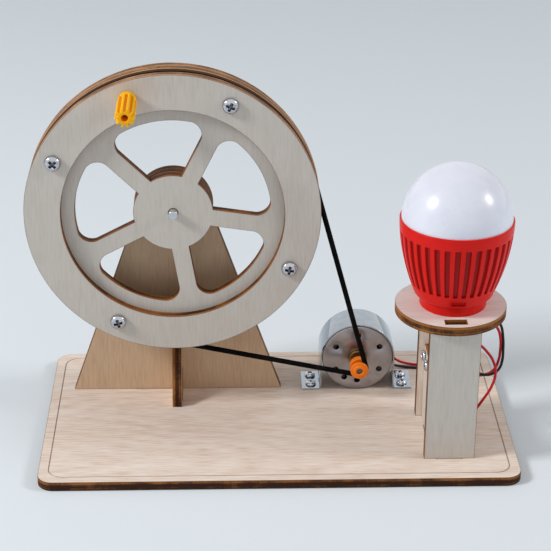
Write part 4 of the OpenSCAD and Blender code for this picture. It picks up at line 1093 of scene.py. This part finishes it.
def make_strap():
    """Sheet-metal strap: a thin rounded section carried from ear to ear, up one side and over the motor."""
    half = half_span("motor_strap", X)
    mid_r = EAR_MID - EAR_HALF - STRAP_T / 2
    foot = BASE_TOP + STRAP_T / 2
    left = softened([(-half, foot), (-mid_r, foot), (-mid_r, MOTOR[Z])], STRAP_BEND)
    angle = np.linspace(np.pi, 0, 72)[1:-1]
    arch = np.stack([mid_r * np.cos(angle), MOTOR[Z] + mid_r * np.sin(angle)], 1)
    right = left[::-1] * [-1, 1]
    path = np.vstack([left, arch, right]) + [MOTOR[X], 0]
    low, high = span("motor_strap", Y)
    half_w, half_t = (high - low) / 2, STRAP_T / 2
    corners = [(-half_w, -half_t), (half_w, -half_t), (half_w, half_t), (-half_w, half_t)]
    section = softened(corners, STRAP_ROUND, True)
    piece("bent_strap", [swept(path, (low + high) / 2, section)], ["motor_strap"])


make_strap()


# Terminals

NUT_FLAT_R = 2.0
NUT_SEAT_R = 1.96
NUT_BORE_R = 1.05
NUT_CHAMFER = 0.12


def make_nuts():
    """Hexagon nuts: the outline is a hexagon, and a cone cuts its corners off on both faces."""
    low, high = span("terminal_nuts", X)
    thick = high - low
    angle = np.linspace(0, 2 * np.pi, 96, endpoint=False)
    sector = (angle + np.pi / 6) % (np.pi / 3) - np.pi / 6
    hexagon = NUT_FLAT_R / np.cos(sector)
    bevel = np.tan(np.radians(30)) * np.maximum(hexagon - NUT_SEAT_R, 0)
    seat = np.minimum(hexagon, NUT_SEAT_R)
    flat = np.zeros_like(angle)
    bore = flat + NUT_BORE_R
    mouth = bore + NUT_CHAMFER
    rows = [(mouth, flat), (seat, flat), (hexagon, bevel), (hexagon, thick - bevel), (seat, flat + thick),
            (mouth, flat + thick), (bore, flat + thick - NUT_CHAMFER), (bore, flat + NUT_CHAMFER)]
    points = np.stack([np.stack([r * np.cos(angle), r * np.sin(angle), h], -1) for r, h in rows])
    nut = points.reshape(-1, 3), cells(len(rows), len(angle), wrap_rows=True)
    height = middle("terminal_nuts")[Z]
    nuts = [set_at(nut, (low, place_y, height), "right") for place_y in TERMINAL_YS]
    piece("hexagon_nuts", nuts, ["terminal_nuts"])


make_nuts()


# Solder

SOLDER_R = 0.72
SOLDER_HALF_L = 0.95


def make_solder():
    """Blobs of solder at the wires' ends: balls that are drawn out along the wire."""
    a = np.linspace(0, np.pi, 17)
    blob = turned(np.stack([SOLDER_R * np.sin(a), -SOLDER_HALF_L * np.cos(a)], 1), 24)
    motor_routes = [WIRES[lead][1] for lead in ("motor_lead_red", "motor_lead_black")]
    lamp_routes = [WIRES[lead][1] for lead in ("lamp_lead_red", "lamp_lead_black")]
    blobs = [set_at(blob, route[0], "right") for route in motor_routes]
    blobs += [set_at(blob, route[-1], "up") for route in motor_routes]
    blobs += [set_at(blob, route[-1], "right") for route in lamp_routes]
    piece("solder_joints", blobs, [], like="strap_screws")


make_solder()


# Bulb

NECK_R = 10.5
NECK_BORE_R = 2.2
NECK_FLOOR = 2.0
SHELL_LOW_R = 12.2
SHELL_H = 25.3
SHELL_BULGE = 1.9
SHELL_WALL = 1.6
SLOT_COUNT = 34
SLOT_DEPTH = 0.8
SLOT_LOW = 4.2
SLOT_HIGH = 21.3
SLOT_EASE = 0.25
SLOT_STEPS = (0.75, 0.60, 0.55, 0.50, 0.45, 0.40, 0.2)
SNAP_HALF_W = 2.15
SNAP_LOW = 0.8
SNAP_HIGH = 2.4
SNAP_EASE = 0.15
LIP_T = 0.5
LIP_H = 3.0
DOME_GAP = 0.05
DOME_SINK = 0.5
DOME_WALL = 1.1


def shell_radius(height, rim_r):
    """Radius of the shell at a height above its foot: it closes in from the rim by a power of the drop."""
    return rim_r - (rim_r - SHELL_LOW_R) * ((SHELL_H - height).clip(0) / SHELL_H) ** SHELL_BULGE


def make_bulb_shell():
    """Slotted shell: a turned profile, pushed in by the slots and the snap window.

    The slots repeat round the shell, with columns gathered at their edges, and fade out over a short height
    at both ends. The inner wall is the same curve moved in by the wall.
    """
    low, rim_z = span("bulb_shell", Z)
    rim_r = half_span("bulb_shell", X)
    foot = rim_z - SHELL_H
    angle, step = repeated_steps(SLOT_STEPS, SLOT_COUNT)
    angle = angle + np.pi / SLOT_COUNT - np.pi / 2
    slot = smooth_step(0.58, 0.42, np.abs(step))
    ends = np.array([-0.35, -0.2, -0.1, 0, 0.1, 0.2, 0.35])
    snap = [0.5, SNAP_LOW - 0.1, SNAP_LOW + 0.1, 1.6, SNAP_HIGH - 0.1, SNAP_HIGH + 0.1, 3.2]
    rise = np.unique(np.concatenate([snap, SLOT_LOW + ends, np.linspace(5, 20.5, 24), SLOT_HIGH + ends,
                                     np.linspace(22.2, SHELL_H - 0.3, 8)]))
    neck = [(NECK_BORE_R, low), (NECK_R - 0.3, low), (NECK_R - 0.08, low + 0.08), (NECK_R, low + 0.3),
            (NECK_R, foot - 0.35), (NECK_R + 0.12, foot - 0.1), (NECK_R + 0.4, foot),
            (SHELL_LOW_R - 0.45, foot), (SHELL_LOW_R - 0.12, foot + 0.1)]
    outer = list(zip(shell_radius(rise, rim_r), foot + rise))
    lip = [(rim_r - 0.05, rim_z - 0.12), (rim_r - 0.2, rim_z), (rim_r - LIP_T + 0.12, rim_z),
           (rim_r - LIP_T, rim_z - 0.12), (rim_r - LIP_T, rim_z - LIP_H)]
    inner_rise = np.linspace(SHELL_H - LIP_H, SHELL_WALL, 12)
    inner = list(zip(shell_radius(inner_rise, rim_r) - SHELL_WALL, foot + inner_rise))
    floor = low + NECK_FLOOR
    bottom = [(NECK_R - SHELL_WALL, foot), (NECK_R - SHELL_WALL, floor), (NECK_BORE_R, floor)]
    radius, height = np.array(neck + outer + lip + inner + bottom).T[:, :, None]
    above = height - foot
    is_outer = np.zeros_like(height)
    is_outer[len(neck):len(neck) + len(outer)] = 1
    begins = smooth_step(SLOT_LOW - SLOT_EASE, SLOT_LOW + SLOT_EASE, above)
    ceases = smooth_step(SLOT_HIGH + SLOT_EASE, SLOT_HIGH - SLOT_EASE, above)
    pressed = is_outer * begins * ceases * slot
    sideways = np.abs(radius * np.cos(angle))
    window = is_outer * (np.sin(angle) < 0)
    window = window * smooth_step(SNAP_HALF_W + SLOT_EASE, SNAP_HALF_W - SLOT_EASE, sideways)
    window = window * smooth_step(SNAP_LOW - SNAP_EASE, SNAP_LOW + SNAP_EASE, above)
    window = window * smooth_step(SNAP_HIGH + SNAP_EASE, SNAP_HIGH - SNAP_EASE, above)
    reach = radius - SLOT_DEPTH * np.maximum(pressed, 0.8 * window)
    points = np.stack([reach * np.cos(angle), reach * np.sin(angle), height + 0 * angle], -1).reshape(-1, 3)
    shell = points + [BULB[X], BULB[Y], 0], cells(len(radius), len(angle), wrap_rows=True)
    # Painted shade: darker in the slots and the snap window
    dark = np.maximum(pressed * 0.7, window * 0.5)
    piece("slotted_shell", [shell], ["bulb_shell"], {"recess": dark.ravel()})


def make_dome():
    """Frosted dome: an arc of an ellipse turned about the bulb's axis, with a short skirt and inner wall."""
    skirt, top = span("bulb_dome", Z)
    rim_z = span("bulb_shell", Z)[1]
    rim_r = half_span("bulb_shell", X) - LIP_T - DOME_GAP
    half_h = top - rim_z + DOME_SINK
    start = np.arcsin(DOME_SINK / half_h)
    half_d = rim_r / np.cos(start)
    a = np.linspace(start, np.pi / 2, 48)
    centre = rim_z - DOME_SINK
    outer = np.stack([half_d * np.cos(a), centre + half_h * np.sin(a)], 1)
    inner = np.stack([(half_d - DOME_WALL) * np.cos(a), centre + (half_h - DOME_WALL) * np.sin(a)], 1)
    profile = np.vstack([outer[::-1], [(rim_r, skirt), (inner[0, 0], skirt)], inner])
    points, faces = turned(profile, 128)
    piece("frosted_cap", [(points + [BULB[X], BULB[Y], 0], faces)], ["bulb_dome"])


DIODE_FOOT = 1.0


def make_diode():
    """Light-emitting diode under the dome: foot ring, straight part and half a ball, on the bulb's axis."""
    low, high = span("lamp_diode", Z)
    foot_r = half_span("lamp_diode", X)
    lens_r = foot_r - DIODE_FOOT / 2
    a = np.linspace(0, np.pi / 2, 13)
    ball = np.stack([lens_r * np.cos(a), high - lens_r + lens_r * np.sin(a)], 1)
    corners = [(0, low), (foot_r, low), (foot_r, low + DIODE_FOOT), (lens_r, low + DIODE_FOOT), ball[0]]
    points, faces = turned(np.vstack([softened(corners, 0.15), ball[1:]]))
    piece("moulded_diode", [(points + [BULB[X], BULB[Y], 0], faces)], ["lamp_diode"])


make_bulb_shell()
make_dome()
make_diode()


# CAD nodes that stay get their slot's finish
for shown in frame["nodes"].values():
    shown.data.materials[0] = FINISHES[shown.data.materials[0].name]


# Stage and light

FLOOR_HALF = 3.0
FLOOR_DROP = 0.0002
LAMPS = (
    # name, azimuth and elevation in degrees, distance, size, share of full light on a face turned to it
    ("lamp_left", -74.0, 36.0, 1.1, 0.24, 0.62),
    ("lamp_right", 82.0, 32.0, 1.1, 0.24, 0.30),
)
SKY = 0.36


def make_floor():
    """Plain pale floor under the base."""
    corners = np.array([[-1, -1], [1, -1], [1, 1], [-1, 1]]) * FLOOR_HALF
    mesh = bpy.data.meshes.new("floor")
    mesh.from_pydata([(x, y, -FLOOR_DROP) for x, y in corners], [], [[0, 1, 2, 3]])
    pale = {"Base Color": tint(232, 240, 246), "Roughness": 0.8, "Specular IOR Level": 0.1}
    material, _, _ = new_material("pale_floor", pale)
    mesh.materials.append(material)
    floor = bpy.data.objects.new("floor", mesh)
    bpy.context.scene.collection.objects.link(floor)


def make_lamps():
    """Two soft boxes at the sides. A lamp of power P at distance d gives P / (pi d)^2 of full light."""
    target = Vector(cad_box[0] + cad_box[1]) / 2
    for name, azimuth, elevation, distance, size, share in LAMPS:
        data = bpy.data.lights.new(name, "AREA")
        data.size = size
        data.energy = share * (np.pi * distance) ** 2
        lamp = bpy.data.objects.new(name, data)
        a, e = np.radians([azimuth, elevation])
        away = Vector((np.sin(a) * np.cos(e), -np.cos(a) * np.cos(e), np.sin(e)))
        lamp.location = target + away * distance
        lamp.rotation_euler = (-away).to_track_quat("-Z", "Y").to_euler()
        bpy.context.scene.collection.objects.link(lamp)


def make_sky():
    """Even light all round, and plain white where the camera, gloss or a clear piece sees past the floor."""
    world = bpy.data.worlds.new("studio")
    world.use_nodes = True
    bpy.context.scene.world = world
    tree = world.node_tree
    path = node(tree, "LightPath")
    seen = math(tree, "MAXIMUM", path.outputs["Is Camera Ray"], path.outputs["Is Glossy Ray"])
    seen = math(tree, "MAXIMUM", seen, path.outputs["Is Transmission Ray"])
    strength = math(tree, "ADD", SKY, math(tree, "MULTIPLY", seen, 1 - SKY))
    tree.links.new(strength, tree.nodes["Background"].inputs["Strength"])
    tree.nodes["Background"].inputs["Color"].default_value = (1, 1, 1, 1)


make_floor()
make_lamps()
make_sky()
bpy.context.scene.view_settings.view_transform = "Standard"
